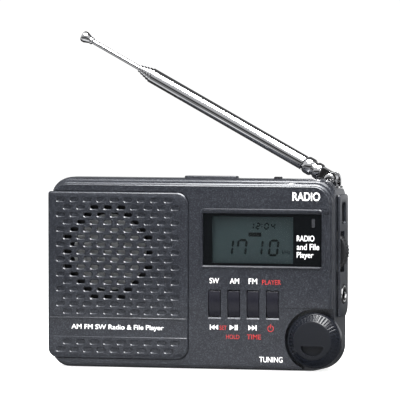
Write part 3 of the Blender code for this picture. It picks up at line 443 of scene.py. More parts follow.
KEYS = ("sw_key", "am_key", "fm_key", "player_key")
SCREWS = [f"case_screw_{number}" for number in range(1, 5)]
KNOB_X, KNOB_Z = middle("tuning_knob").x, middle("tuning_knob").z
SQUARE = (0, 0, 0, 0)


def well(radius, start, end):
    """The recess round the knob: round on its left, open to the right and below."""
    beside = block((KNOB_X - radius * 0.47, -9), (RIGHT + 9, KNOB_Z), start, end)
    above = block((KNOB_X, KNOB_Z - 1), (RIGHT + 9, KNOB_Z + radius), start, end)
    return [disc(radius, (KNOB_X, KNOB_Z), start, end, 96), beside, above]


moulding = ((0.0, 1.30, 3.10, 2.30), (0.20, 1.05, 2.82, 2.03), (0.50, 0.88, 2.68, 1.88),
            (1.60, 0.88, 2.55, 1.75), (1.66, 0.80, 2.45, 1.67), (1.88, 0.50, 2.15, 1.40),
            (1.98, 0.30, 1.98, 1.20), (3.78, 0.30, 1.35, 0.85), (3.84, 0.22, 1.22, 0.76),
            (4.06, 0.10, 0.92, 0.58), (4.20, 0.03, 0.60, 0.38), (4.50, 0.0, 0.40, 0.22),
            (PART_FRONT - FACE, 0.0, 0.0, 0.0))
hollow = shaped(lofted([case_ring(2.0, 2.0, 3.4, 2.4), case_ring(12.0, 2.0, 3.4, 2.4)]),
                *well(WELL_R + 1.5, FACE - 5, WELL_FLOOR + 1.5))
grille_low, grille_high = low_of("grille_panel"), high_of("grille_panel")
window_low, window_high = low_of("display_window"), high_of("display_window")
seat_low = (window_low.x - 0.55, window_low.z - 1.40)
seat_high = (window_high.x + 0.65, window_high.z + 2.30)
glass_low = (window_low.x - 0.08, window_low.z - 0.08)
glass_high = (window_high.x + 0.08, window_high.z + 0.08)
front_cuts = [
    hollow,
    block((LEFT - 8, grille_low.z - 0.25), (grille_high.x + 0.25, grille_high.z + 0.25),
          FACE - 5, FACE + 1.25, 5.2, 10),
    block((LEFT - 9, grille_low.z - 0.25), (LEFT + 1.0, grille_high.z + 0.25), FACE - 5, FACE + 12),
    disc(22.6, (middle("speaker_cone").x, middle("speaker_cone").z), FACE - 5, FACE + 3, 72),
    lofted([((glass_low[0] - 0.6, glass_low[1] - 0.9), (glass_high[0] + 0.6, glass_high[1] + 1.2),
             FACE - 1.0, (1.0,) * 4),
            ((glass_low[0] - 0.25, glass_low[1] - 0.55),
             (glass_high[0] + 0.25, glass_high[1] + 0.85), FACE - 0.4, (0.7,) * 4),
            (glass_low, glass_high, FACE + 0.3, (0.4,) * 4),
            (glass_low, glass_high, FACE + 1.6, (0.4,) * 4)], 4),
    block((window_low.x + 0.6, window_low.z + 0.6), (window_high.x - 0.6, window_high.z - 0.6),
          FACE - 5, FACE + 3),
    lofted([((seat_high[0] + 0.1, seat_low[1] - 1.2), (RIGHT + 6, seat_high[1] - 1.4),
             FACE - 1.2, SQUARE),
            ((seat_high[0] + 1.3, seat_low[1] - 0.6), (RIGHT + 6, seat_high[1] - 1.9),
             FACE + 0.42, SQUARE)]),
]
for name in KEYS:
    low, high = low_of(name), high_of(name)
    sides = (low.x + 0.53, high.x - 0.53)
    front_cuts.append(lofted([((sides[0], low.z - 0.40), (sides[1], high.z - 0.45),
                               FACE - 0.25, SQUARE),
                              ((sides[0], low.z + 0.48), (sides[1], high.z - 0.48), FACE + 0.5,
                               SQUARE),
                              ((sides[0], low.z + 0.48), (sides[1], high.z - 0.48), FACE + 3,
                               SQUARE)]))
front_cuts += well(WELL_R, FACE - 5, WELL_FLOOR)
front_cuts.append(disc(4.9, (KNOB_X, KNOB_Z), FACE, FACE + 8, 32))
for level in (26.4, 41.7):
    front_cuts.append(block((high_of("player_key").x + 2.0 if level < 30 else seat_high[0] + 0.6,
                             level - 0.14), (RIGHT + 3, level + 0.14), FACE - 1, FACE + 0.22))
rim_low = (seat_low[0] - 0.45, seat_low[1] + 0.25)
rim_high = (seat_high[0] + 0.05, seat_high[1] - 0.25)
rim = lofted([(rim_low, rim_high, FACE + 0.6, (1.5,) * 4),
              (rim_low, rim_high, FACE - 0.22, (1.5,) * 4),
              ((rim_low[0] + 0.3, rim_low[1] + 0.3), (rim_high[0] - 0.3, rim_high[1] - 0.3),
               FACE - 0.5, (1.2,) * 4)], 6)
brow = lofted([((rim_high[0] - 2, rim_high[1] - 1.5), (RIGHT - 0.75, rim_high[1]),
                FACE + 0.6, SQUARE),
               ((rim_high[0] - 2, rim_high[1] - 1.3), (RIGHT - 0.9, rim_high[1] - 0.25),
                FACE - 0.3, SQUARE)])
piece("front_case", lofted([case_ring(*step) for step in moulding], 14), case_paint,
                   "case", ["front_shell"], front_cuts, [rim, brow], edge=0.12,
                   sharp=22)
posts = []
for screw in SCREWS:
    place = middle(screw)
    start = FACE + 4.7 if place.z < KNOB_Z + WELL_R and place.x > 0 else FACE + 1.4
    posts.append(spun(((0, start), (2.6, start), (2.6, BACK - 2.2), (1.3, BACK - 2.2),
                       (1.3, BACK - 9.0), (0, BACK - 9.0)), (place.x, place.z), 24))
piece("screw_posts", joined(posts), case_paint, "case", edge=0.1)

# ---- Rear case ----------------------------------------------------------------------------
# The back half of the case, moulded to match: a rounded back edge, a step along the top where
# the folded antenna lies, a notch for its knuckle, and openings for door, stand and sockets.
LEDGE_FRONT = BACK - 9.5
LEDGE_TOP = TOP - 4.2
PIVOT = [joint for joint in frame["joints"] if joint["name"] == "antenna_raise"][0]["pos_m"]
PIVOT = Vector(PIVOT) / MM
NOTCH = 7.41
rear_steps = [((PART_FRONT + 0.3) - FACE, 0, 0, 0), ((PART_FRONT + 0.55) - FACE, 0, 0, 0)]
for step in range(9):
    turn = math.radians(90 * step / 8)
    inset = 4.0 * (1 - math.cos(turn))
    rear_steps.append((BACK - 4.0 + 4.0 * math.sin(turn) - FACE, inset, inset, inset))
stand_low, stand_high = low_of("kickstand"), high_of("kickstand")
door_low, door_high = low_of("battery_door"), high_of("battery_door")
light_low, light_high = low_of("light_bar"), high_of("light_bar")
lock_low, lock_high = low_of("lock_slider"), high_of("lock_slider")
wheel = middle("volume_wheel")
ring = middle("headphone_ring")
usb_low, usb_high = low_of("usb_socket"), high_of("usb_socket")
low_hollow = shaped(lofted([((LEFT + WALL, WALL), (RIGHT - WALL, LEDGE_TOP - WALL), level,
                             (6, 9, 4, 4)) for level in (-12, BACK - WALL)]),
                    block((stand_low.x - 1.8, stand_low.z - 1.8),
                          (stand_high.x + 1.8, stand_high.z + 2.1), BACK - 3.5, BACK + 5))
high_hollow = shaped(block((LEFT + WALL, 40), (RIGHT - WALL, TOP - WALL), -12,
                           LEDGE_FRONT - WALL, 6),
                     block((PIVOT.x - NOTCH - WALL, LEDGE_TOP - WALL), (RIGHT + 5, TOP + 5),
                           PIVOT.y - NOTCH - WALL, BACK + 5))

FACING_RIGHT = Matrix.Rotation(math.radians(90), 4, "Z")
UPRIGHT = Matrix.Rotation(math.radians(90), 4, "X")


def arc(centre, radius, last, first=0, flatten=1.0):
    """Points on an arc in the (x, z) plane, every nine degrees."""
    turns = [math.radians(angle) for angle in range(first, last, 9)]
    return [(centre[0] + radius * math.cos(turn), centre[1] + radius * flatten * math.sin(turn))
            for turn in turns]


def sideways_block(y, z, start, end, radius=0.0):
    """A block across X: its (y, z) outline runs from one level of X to another."""
    return moved(block((y[0], z[0]), (y[1], z[1]), -end, -start, radius), FACING_RIGHT)


def sideways_disc(radius, centre, start, end, steps=40):
    return moved(disc(radius, centre, -end, -start, steps), FACING_RIGHT)


def upright_disc(radius, centre, start, end, steps=40):
    """A disc across Z about (x, y), between two heights."""
    return moved(disc(radius, (centre[0], -centre[1]), start, end, steps), UPRIGHT)


def wheel_slot(radius):
    """The opening that the volume wheel stands out of."""
    return sideways_block((wheel.y - 2.95, wheel.y + 2.95), (wheel.z - 8.5, wheel.z + 8.5),
                          RIGHT - 5, RIGHT + 5, radius)


RING_HOLE_R = 4.15
rear_cuts = [
    low_hollow, high_hollow,
    block((LEFT - 5, LEDGE_TOP), (RIGHT + 5, TOP + 5), LEDGE_FRONT, BACK + 5),
    block((PIVOT.x - NOTCH, LEDGE_TOP), (RIGHT + 5, TOP + 5), PIVOT.y - NOTCH, BACK + 5),
    upright_disc(2.9, (PIVOT.x, PIVOT.y), LEDGE_TOP - 5, TOP + 5),
    block((door_low.x - 0.3, door_low.z - 0.7), (door_high.x + 0.3, door_high.z + 0.3),
          BACK - 3.8, BACK + 5, 0.6),
    block((stand_low.x - 0.3, stand_low.z - 0.3), (stand_high.x + 0.3, stand_high.z + 0.6),
          BACK - 2.0, BACK + 5, 0.6),
    wheel_slot(0.4), sideways_disc(RING_HOLE_R, (ring.y, ring.z), RIGHT - 5, RIGHT + 5),
    sideways_block((usb_low.y - 0.3, usb_high.y + 0.3), (usb_low.z - 0.3, usb_high.z + 0.3),
                   RIGHT - 5, RIGHT + 5),
    block((light_low.x + 0.5, TOP - 5), (light_high.x - 0.5, TOP + 5), light_low.y + 0.2,
          light_high.y + 0.3),
    block((lock_low.x + 0.4, TOP - 3), (lock_low.x + 8.0, TOP + 5), lock_low.y + 0.1,
          lock_high.y - 0.1),
]
for screw in SCREWS:
    place = middle(screw)
    rear_cuts.append(disc(1.3, (place.x, place.z), BACK - 4, BACK + 5, 24))
    rear_cuts.append(disc(2.5, (place.x, place.z), BACK - 0.9, BACK + 5, 32))
for row in range(5):
    level = door_high.z + 5.0 + row * 2.2
    rear_cuts.append(block((door_high.x - 22, level), (door_high.x - 4, level + 0.9),
                           BACK - 0.5, BACK + 5, 0.4))
piece("rear_case", lofted([case_ring(*step) for step in rear_steps], 14), case_paint, "case",
      ["rear_shell"], rear_cuts, edge=0.18)

# ---- Speaker grille -----------------------------------------------------------------------
# A separate moulded panel that clips over the left of the front and wraps round the side. Its
# staggered slots go through over the speaker, and are shallow dimples everywhere else.
SLOT_PITCH = (5.955, 3.135)
SLOT_START = (LEFT + 5.5, TOP - 9.25)
OPEN_R = 20.4
cone_x, cone_z = middle("speaker_cone").x, middle("speaker_cone").z
panel_face = grille_low.y
panel_rings = []
for inset, level in ((0.75, 0.0), (0.62, 0.05), (0.22, 0.36), (0.0, 0.75), (0.0, 1.5)):
    corner = 5.0 - inset
    panel_rings.append(((grille_low.x + 0.45 + inset, grille_low.z + inset),
                        (grille_high.x - inset, grille_high.z - inset), panel_face + level,
                        (4.0 - inset, corner, corner, 1.2)))


def slot_shape(x, z, levels):
    """A slot cutter: at each level of Y it has round ends and its own length and height."""
    rings = []
    for level, length, height in levels:
        rings.append(((x - length / 2, z - height / 2), (x + length / 2, z + height / 2), level,
                      (height * 0.499,) * 4))
    return lofted(rings, 4)


UPPER_ROWS = 16
slots = []
rows = [(row, SLOT_START[1] - row * SLOT_PITCH[1]) for row in range(UPPER_ROWS)]
for row, level in rows + [(19, 10.84), (20, 7.6)]:
    shift = SLOT_PITCH[0] / 2 if row % 2 else 0.0
    for column in range(9):
        across = SLOT_START[0] + shift + column * SLOT_PITCH[0]
        if row < UPPER_ROWS and math.hypot(across - cone_x, level - cone_z) < OPEN_R:
            steps = ((panel_face - 0.2, 4.9, 2.85), (panel_face + 0.38, 3.65, 1.6),
                     (panel_face + 3.0, 3.65, 1.6))
        else:
            steps = ((panel_face - 0.2, 4.8, 2.75), (panel_face + 0.32, 3.75, 1.7),
                     (panel_face + 0.46, 3.55, 1.5))
        slots.append(slot_shape(across, level, steps))
strip = lofted([((LEFT - 2.0, 12.75), (grille_high.x + 2.0, 20.85), panel_face - 0.16, SQUARE),
                ((LEFT - 2.0, 13.25), (grille_high.x + 2.0, 20.65), panel_face + 0.20, SQUARE)])
groove = lofted([((LEFT - 2.0, 20.90), (grille_high.x + 2.0, 21.65), panel_face - 0.16, SQUARE),
                 ((LEFT - 2.0, 21.40), (grille_high.x + 2.0, 21.55), panel_face + 0.20, SQUARE)])
wrap = block((grille_low.x + 0.45, grille_low.z + 4.5), (LEFT + 0.9, grille_high.z - 1.5),
             panel_face + 0.9, PART_FRONT - 0.2, 0.0)
piece("speaker_grille", lofted(panel_rings, 12), grille_paint, "case", ["grille_panel"],
      [strip, groove, joined(slots)], [wrap], edge=0.08)


# ---- Printed words ------------------------------------------------------------------------
# Pad-printed white and red marks name the keys and what they do, in general words. Each mark
# stands out by a few hundredths of a millimetre.
def words(text, box, level, weight=0.006, depth=0.03):
    """A flat printed text that fills box, as (left, low, right, high), at a level of Y."""
    curve = bpy.data.curves.new("text", "FONT")
    curve.body = text
    curve.offset = weight
    curve.extrude = 0.01
    item = bpy.data.objects.new("text", curve)
    bpy.context.scene.collection.objects.link(item)
    graph = bpy.context.evaluated_depsgraph_get()
    data = bpy.data.meshes.new_from_object(item.evaluated_get(graph))
    bpy.data.objects.remove(item, do_unlink=True)
    mesh = bmesh.new()
    mesh.from_mesh(data)
    bpy.data.meshes.remove(data)
    bmesh.ops.remove_doubles(mesh, verts=mesh.verts, dist=1e-5)
    left = min(point.co.x for point in mesh.verts)
    right = max(point.co.x for point in mesh.verts)
    low = min(point.co.y for point in mesh.verts)
    high = max(point.co.y for point in mesh.verts)
    for point in mesh.verts:
        across = box[0] + (point.co.x - left) / (right - left) * (box[2] - box[0])
        height = box[1] + (point.co.y - low) / (high - low) * (box[3] - box[1])
        point.co = Vector((across, level - (depth if point.co.z > 0 else 0), height)) * MM
    bmesh.ops.recalc_face_normals(mesh, faces=mesh.faces)
    return mesh


def sign(points, level, depth=0.03):
    return prism(points, level - depth, level)


ink = Finish("white_ink", (0.80, 0.80, 0.80), 0.45)
ink.feed("Base Color", ink.blend(ink.noise(0.6), (0.74, 0.74, 0.74, 1), (0.90, 0.90, 0.90, 1)))
red = Finish("red_ink", (0.50, 0.02, 0.02), 0.45)
red.feed("Base Color", red.blend(red.noise(0.6), (0.26, 0.012, 0.012, 1),
                                 (0.42, 0.022, 0.022, 1)))
flat = FACE - 0.005
SIGN_LOW, SIGN_HIGH = 16.9, 19.1
white_marks = [words("SW", (9.1, 36.3, 13.2, 38.6), flat),
               words("AM", (17.9, 36.3, 22.0, 38.6), flat),
               words("FM", (26.15, 36.3, 29.85, 38.6), flat),
               words("TUNING", (30.8, 3.7, 40.9, 6.0), flat),
               words("RADIO", (45.2, 71.2, 57.1, 74.8), flat, 0.02)]
for left in (9.2, 20.1, 20.9, 29.2):
    white_marks.append(sign(((left, SIGN_LOW), (left + 0.4, SIGN_LOW), (left + 0.4, SIGN_HIGH),
                             (left, SIGN_HIGH)), flat))
for wide, point in ((11.2, 9.7), (12.8, 11.3), (17.9, 19.7), (26.0, 27.5), (27.6, 29.1)):
    white_marks.append(sign(((wide, SIGN_LOW), (point, (SIGN_LOW + SIGN_HIGH) / 2),
                             (wide, SIGN_HIGH)), flat))
piece("white_print", joined(white_marks), ink, "case", edge=0)
power_ring = spun(((1.05, 0), (1.4, 0), (1.4, -0.03), (1.05, -0.03)), (0, 0), 32, closed=True)
power_ring = shaped(power_ring, block((-0.4, 0.4), (0.4, 2.5), -1, 1))
power_ring.transform(Matrix.Translation(Vector((35.7, flat, 17.8)) * MM))
red_marks = [words("PLAYER", (32.0, 36.1, 40.2, 38.1), flat), power_ring,
             sign(((35.52, 17.9), (35.88, 17.9), (35.88, 19.7), (35.52, 19.7)), flat),
             words("SET", (13.4, 16.9, 16.6, 18.7), flat),
             words("HOLD", (16.3, 13.2, 22.1, 15.0), flat),
             words("TIME", (25.4, 13.2, 31.5, 15.2), flat)]
piece("red_print", joined(red_marks), red, "case", edge=0)
piece("grille_print", words("AM FM SW Radio & File Player", (-51.7, 15.7, -10.96, 18.34),
                            panel_face + 0.195, 0.01), ink, "case", edge=0)

# ---- Speaker ------------------------------------------------------------------------------
# A small moving-coil speaker behind the grille: an aluminium dust cap and cone, a black
# corrugated surround, a pressed steel basket and a ferrite ring magnet.
cone_finish = Finish("speaker_cone", (0.60, 0.61, 0.62), 0.42, 0.35)
grain = cone_finish.noise(0.8, 3.0)
cone_finish.feed("Base Color", cone_finish.blend(grain, (0.50, 0.51, 0.52, 1),
                                                 (0.86, 0.87, 0.88, 1)))
cone_finish.bump(grain, 0.02, 0.4)
surround_finish = Finish("speaker_surround", (0.012, 0.012, 0.013), 0.6)
surround_finish.patchy(0.55, 0.2, 1.2)
cone_front = low_of("speaker_frame").y
piece("speaker_cone_front", spun(((0, 0.2), (3.0, 0.35),
                                  (5.6, 0.95), (7.4, 2.0),
                                  (9.0, 2.9), (12.6, 1.5),
                                  (16.0, 0.55), (16.0, 0.9),
                                  (9.0, 3.3), (7.0, 2.4),
                                  (0, 0.6)), (cone_x, cone_z), 96, base=cone_front),
      cone_finish, "case", ["speaker_cone"], edge=0)
piece("speaker_surround", spun(((16.1, 0.65), (17.3, 0.1),
                                (18.6, 0.05), (19.8, 0.5),
                                (21.0, 0.35), (21.0, 0.7),
                                (19.8, 0.9), (18.0, 0.5),
                                (16.1, 1.0)), (cone_x, cone_z), 96, closed=True,
                                base=cone_front),
      surround_finish, "case", edge=0)

# ---- Display ------------------------------------------------------------------------------
# A clear window printed gloss black on its border, over a reflective liquid-crystal display
# that shows a frequency and the time. Three printed lines stand at its right.
WINDOW_FACE = window_low.y
LCD_VIEW = (10.17, 44.93, 45.44, 64.35)
gloss = Finish("gloss_black", (0.003, 0.0035, 0.004), 0.10, Specular_IOR_Level=0.25)
gloss.patchy(0.07, 0.05, 14.0)
pane_finish = Finish("clear_pane", (0.02, 0.024, 0.025), 0.05, Alpha=0.12)
pane_finish.patchy(0.03, 0.04, 10.0)
border = block((window_low.x, window_low.z), (window_high.x, window_high.z), WINDOW_FACE,
               WINDOW_FACE + 0.35)
lamp = middle("signal_led")
piece("window_border", border, gloss, "case", ["display_window"],
      [block(LCD_VIEW[:2], LCD_VIEW[2:], WINDOW_FACE - 3, WINDOW_FACE + 3),
       block((lamp.x - 0.75, lamp.z - 1.8), (lamp.x + 0.75, lamp.z + 1.8), WINDOW_FACE - 3,
             WINDOW_FACE + 3, 0.4)], edge=0.05)
piece("window_pane", block((LCD_VIEW[0] + 0.02, LCD_VIEW[1] + 0.02), (LCD_VIEW[2] - 0.02,
      LCD_VIEW[3] - 0.02), WINDOW_FACE + 0.03, WINDOW_FACE + 0.33), pane_finish, "case",
      edge=0)
lens = Finish("lamp_lens", (0.05, 0.052, 0.055), 0.25)
lens.feed("Base Color", lens.blend(lens.noise(1.0), (0.018, 0.019, 0.022, 1),
                                   (0.036, 0.038, 0.042, 1)))
piece("signal_lamp", block((lamp.x - 0.72, lamp.z - 1.77), (lamp.x + 0.72, lamp.z + 1.77),
                           WINDOW_FACE + 0.08, low_of("key_board").y - 0.3, 0.38), lens,
      "case", ["signal_led"], edge=0.05)
lcd_low, lcd_high = low_of("lcd_module"), high_of("lcd_module")
lcd_finish = Finish("lcd_glass", (0.030, 0.045, 0.048), 0.30)
shade = lcd_finish.noise(26.0, 1.0)
lcd_finish.feed("Base Color", lcd_finish.blend(shade, (0.010, 0.018, 0.021, 1),
                                               (0.026, 0.042, 0.045, 1)))
piece("lcd_panel", block((lcd_low.x, lcd_low.z), (lcd_high.x, lcd_high.z), lcd_low.y, lcd_high.y),
      lcd_finish, "case", ["lcd_module"], edge=0.08)
LCD_SHIFT = -0.72
LCD_FACE = lcd_low.y - 0.01
SEGMENTS = {"0": "abcdef", "1": "bc", "2": "abged", "4": "fgbc", "7": "fabc"}


def digit(symbol, left, low, width, height, bar):
    """One seven-segment digit, leaning to the right, as thin flat bars."""
    half = height / 2
    gap = bar * 0.12
    across = ((gap, 0), (bar * 0.5 + gap, bar * 0.5), (width - bar * 0.5 - gap, bar * 0.5),
              (width - gap, 0), (width - bar * 0.5 - gap, -bar * 0.5),
              (bar * 0.5 + gap, -bar * 0.5))
    along = ((0, gap), (bar * 0.5, bar * 0.5 + gap), (bar * 0.5, half - bar * 0.5 - gap),
             (0, half - gap), (-bar * 0.5, half - bar * 0.5 - gap), (-bar * 0.5, bar * 0.5 + gap))
    places = {"a": (across, 0, height), "g": (across, 0, half), "d": (across, 0, 0),
              "f": (along, 0, half), "b": (along, width, half), "e": (along, 0, 0),
              "c": (along, width, 0)}
    shapes = []
    for letter in SEGMENTS[symbol]:
        outline, x, z = places[letter]
        points = [(left + x + a + (z + b) * 0.12, low + z + b) for a, b in outline]
        shapes.append(prism(points, LCD_FACE - 0.03, LCD_FACE))
    return shapes


lcd_ink = Finish("lcd_ink", (0.002, 0.002, 0.002), 0.5, Specular_IOR_Level=0.05)
lcd_ink.patchy(0.35, 0.2, 3.0)
marks = []
for symbol, left in (("1", 15.25), ("7", 21.1), ("1", 28.1), ("0", 34.95)):
    marks += digit(symbol, left + LCD_SHIFT, 48.35, 3.5, 6.1, 0.95)
for symbol, left in (("1", 26.7), ("2", 29.4), ("0", 33.1), ("4", 35.9)):
    marks += digit(symbol, left + LCD_SHIFT, 59.25, 1.45, 2.3, 0.6)
for level in (59.9, 61.0):
    marks.append(block((31.75 + LCD_SHIFT, level), (32.2 + LCD_SHIFT, level + 0.4),
                       LCD_FACE - 0.03, LCD_FACE))
marks.append(words("kHz", (39.95 + LCD_SHIFT + 0.8, 48.9, 44.3 + LCD_SHIFT, 50.5), LCD_FACE))
badge = block((26.1 + LCD_SHIFT, 56.0), (31.7 + LCD_SHIFT, 57.7), LCD_FACE - 0.03, LCD_FACE)
marks.append(badge)
piece("lcd_marks", joined(marks), lcd_ink, "case", edge=0)
window_words = [words("RADIO", (47.0, 54.4, 54.6, 56.8), WINDOW_FACE - 0.004, 0.008),
                words("and File", (47.0, 50.8, 56.7, 53.3), WINDOW_FACE - 0.004, 0.008),
                words("Player", (47.0, 46.8, 54.2, 49.9), WINDOW_FACE - 0.004, 0.008)]
piece("window_print", joined(window_words), ink, "case", edge=0)

# ---- Keys ---------------------------------------------------------------------------------
# Four tall glossy keys choose the band or the player. Each leans back at its top third, has a
# finger ridge along its lower edge, and a hidden flange that keeps it in its opening.
key_gloss = Finish("key_gloss", (0.008, 0.008, 0.012), 0.20, Specular_IOR_Level=0.35)
key_gloss.patchy(0.17, 0.08, 2.5)
for name in KEYS:
    low, high = low_of(name), high_of(name)
    base, crest = low.z + 0.8, high.z - 0.8
    outline = ((FACE + 2.6, base), (FACE + 0.70, base), (FACE + 0.35, base + 0.9),
               (FACE - 0.12, base + 4.0), (FACE - 0.30, base + 6.9), (FACE - 0.22, base + 7.6),
               (FACE - 0.06, crest - 0.6), (FACE + 0.30, crest), (FACE + 2.6, crest))
    turned = prism([(-y, z) for y, z in outline], low.x + 0.8, high.x - 0.8)
    moved(turned, Matrix.Rotation(math.radians(-90), 4, "Z") @ Matrix.Scale(1, 4))
    flange = block((low.x, low.z), (high.x, high.z), FACE + 2.3, high.y)
    piece(f"{name[:-4]}_button", turned, key_gloss, "key_" + name[:-4], [name],
          joins=[flange], edge=0.2, segments=3)

# ---- Tuning knob --------------------------------------------------------------------------
# A turned-looking moulded knob: flat face with a finger dimple, a cone of glossy serrations
# and a thin smooth lip. It fits on the encoder's shaft and sits in the corner recess.
knob_finish = Finish("knob_plastic", (0.005, 0.006, 0.009), 0.30, Specular_IOR_Level=0.30)
knob_grain = knob_finish.noise(0.35, 3.0)
knob_place = knob_finish.node("ShaderNodeMapping", {}, {
    "Vector": knob_finish.place, "Location": (-KNOB_X * MM, 0, -KNOB_Z * MM), "Scale": (1, 0, 1)})
knob_radius = knob_finish.node("ShaderNodeVectorMath", {"operation": "LENGTH"}, {0: knob_place}, 1)
serrated = knob_radius > 8.1 * MM
knob_finish.feed("Roughness", 0.40 + knob_grain * 0.10 - serrated * 0.22)
knob_finish.bump(knob_grain, 0.006, 0.4)
knob_face = low_of("tuning_knob").y
KNOB_R = high_of("tuning_knob").x - KNOB_X
centre = (KNOB_X, KNOB_Z)
knob = spun(((0, 0.08), (7.4, 0), (7.95, 0.08), (8.2, 0.32), (10.75, 3.0), (11.0, 3.15),
             (KNOB_R - 0.1, 3.2), (KNOB_R, 3.35), (KNOB_R, 4.4), (KNOB_R - 0.4, 7.4), (0, 7.4)),
            centre, 144, base=knob_face)
flutes = []
FLUTES = 44
slope = math.atan2(2.55, 2.68)
for tooth in range(FLUTES):
    flute = bmesh.new()
    bmesh.ops.create_cone(flute, cap_ends=True, segments=10, radius1=0.52 * MM, radius2=0.40 * MM,
                          depth=3.6 * MM)
    lean = Matrix.Rotation(math.radians(90) + slope, 4, "X")
    out = Matrix.Translation(Vector((0, knob_face + 1.45, 9.62)) * MM)
    turn = Matrix.Rotation(math.tau * (tooth + 0.5) / FLUTES, 4, "Y")
    flute.transform(Matrix.Translation(Vector((KNOB_X, 0, KNOB_Z)) * MM) @ turn @ out @ lean)
    flutes.append(flute)
dimple = prism(arc((KNOB_X, KNOB_Z - 2.2), 4.9, 361, 180, 4.2 / 4.9), knob_face - 3,
               knob_face + 1.5)
piece("tuning_dial", knob, knob_finish, "tuning", ["tuning_knob"],
      [joined(flutes), dimple, disc(3.3, centre, knob_face + 2.6, knob_face + 12, 32)],
      edge=0.14, sharp=34)

# ---- Right side ---------------------------------------------------------------------------
# A painted strip stuck to the side, with the mouth of the data socket, the ribbed volume wheel
# and the headphone socket with its chrome ring along one line.
side_low, side_high = low_of("side_panel"), high_of("side_panel")
side_levels = []
for inset, level in ((0.0, side_low.x), (0.0, side_high.x - 0.35), (0.12, side_high.x - 0.12),
                     (0.38, side_high.x)):
    side_levels.append(((side_low.y + inset, side_low.z + inset),
                        (side_high.y - inset, side_high.z - inset), -level,
                        (1.2 - inset, 5.5 - inset, 2.0 - inset, 1.0 - inset)))
side_strip = moved(lofted(side_levels, 8), FACING_RIGHT)
usb = middle("usb_socket")
piece("side_strip", side_strip, case_paint, "case", ["side_panel"],
      [wheel_slot(0.5), sideways_disc(RING_HOLE_R, (ring.y, ring.z), RIGHT - 5, RIGHT + 5),
       sideways_block((usb.y - 2.95, usb.y + 2.95), (usb.z - 4.45, usb.z + 4.45), RIGHT - 5,
                      RIGHT + 5, 1.3)], edge=0.1)
black = Finish("black_plastic", (0.010, 0.010, 0.012), 0.46)
black.patchy(0.38, 0.14, 0.9)
black.bump(black.noise(0.3), 0.006, 0.4)
wheel_r = high_of("volume_wheel").z - wheel.z
wheel_low, wheel_high = low_of("volume_wheel"), high_of("volume_wheel")
rim_low_y = wheel_high.y - 4.6
thumb = spun(((0, rim_low_y), (wheel_r - 0.7, rim_low_y), (wheel_r, rim_low_y + 0.6),
              (wheel_r, wheel_high.y - 0.6), (wheel_r - 0.7, wheel_high.y), (0, wheel_high.y)),
             (wheel.x, wheel.z), 120)
grooves = []
RIBS = 40
for tooth in range(RIBS):
    turn = math.tau * tooth / RIBS
    place = (wheel.x + math.cos(turn) * (wheel_r + 0.05),
             wheel.z + math.sin(turn) * (wheel_r + 0.05))
    grooves.append(disc(0.42, place, rim_low_y - 1, wheel_high.y + 1, 8))
piece("volume_dial", thumb, black, "volume", ["volume_wheel"], [joined(grooves)],
      [disc(1.3, (wheel.x, wheel.z), wheel_low.y, rim_low_y + 1, 24)], edge=0.08)
chrome = Finish("chrome", (0.80, 0.80, 0.81), 0.07, 1.0)
chrome.patchy(0.02, 0.04, 7.0)
steel = Finish("steel", (0.42, 0.42, 0.43), 0.30, 1.0)
steel.patchy(0.24, 0.14, 1.5)
ring_out = high_of("headphone_ring").x
collar = spun(((2.25, 3.0), (3.85, 3.0), (3.85, 0.45), (3.5, 0.08), (3.2, 0), (2.7, 0.12),
               (2.25, 0.6)), closed=True, base=-ring_out)
at_socket = Matrix.Translation(Vector((0, ring.y, ring.z)) * MM)
piece("headphone_bezel", moved(collar, at_socket @ FACING_RIGHT), chrome, "case",
      ["headphone_ring"], edge=0)

# ---- Top ----------------------------------------------------------------------------------
# A long bar key for the display light, painted like the case, and a small black slider with
# three ribs that locks the keys. A wider foot under the roof keeps each in its opening.
light_levels = []
for inset, level in ((0.0, light_low.z + 1.0), (0.0, light_high.z - 0.45),
                     (0.14, light_high.z - 0.16), (0.42, light_high.z)):
    light_levels.append(((light_low.x + 0.8 + inset, -light_high.y + inset),
                         (light_high.x - 0.8 - inset, -light_low.y - 0.5 - inset), level,
                         (1.3 - inset,) * 4))
bar = moved(lofted(light_levels, 8), UPRIGHT)
foot = block((light_low.x, light_low.z), (light_high.x, light_low.z + 0.72), light_low.y,
             light_high.y)
piece("light_key", bar, case_paint, "light", ["light_bar"], joins=[foot], edge=0.06)
slider_x = middle("lock_slider").x
slider = block((slider_x - 1.5, lock_low.z + 0.1), (slider_x + 1.5, lock_high.z), lock_low.y + 0.4,
               lock_high.y - 0.4, 0.3)
slider_ribs = [block((slider_x + step - 0.2, lock_high.z - 0.35),
                     (slider_x + step + 0.2, lock_high.z + 1), lock_low.y, lock_high.y)
               for step in (-0.8, 0.0, 0.8)]
piece("lock_key", slider, black, "lock", ["lock_slider"], slider_ribs,
      [block((lock_low.x, lock_low.z), (lock_high.x, lock_low.z + 0.82), lock_low.y, lock_high.y)],
      edge=0.08)

# ---- Back ---------------------------------------------------------------------------------
# A hinged battery door with a grip, over a black bay for two cells, and a fold-out stand with
# a ribbed end. Four cross-headed screws hold the case together.
grip = [block((middle("battery_door").x - 7, door_high.z - 6.6 + step * 1.1),
              (middle("battery_door").x + 7, door_high.z - 6.1 + step * 1.1),
              BACK - 0.35, BACK + 3, 0.2)
        for step in range(4)]
piece("battery_cover", block((door_low.x, door_low.z), (door_high.x, door_high.z), door_low.y,
                             door_high.y, 0.5), case_paint, "door", ["battery_door"], grip,
      edge=0.22)
stand_levels = [(stand_low.to_tuple()[::2], stand_high.to_tuple()[::2], level, (4, 4, 0.5, 0.5))
                for level in (stand_low.y, stand_high.y)]
ridges = [block((stand_low.x + 5, stand_low.z + 2.6 + step * 1.3),
                (stand_high.x - 5, stand_low.z + 3.2 + step * 1.3),
                stand_high.y - 0.3, BACK + 3, 0.25)
          for step in range(5)]
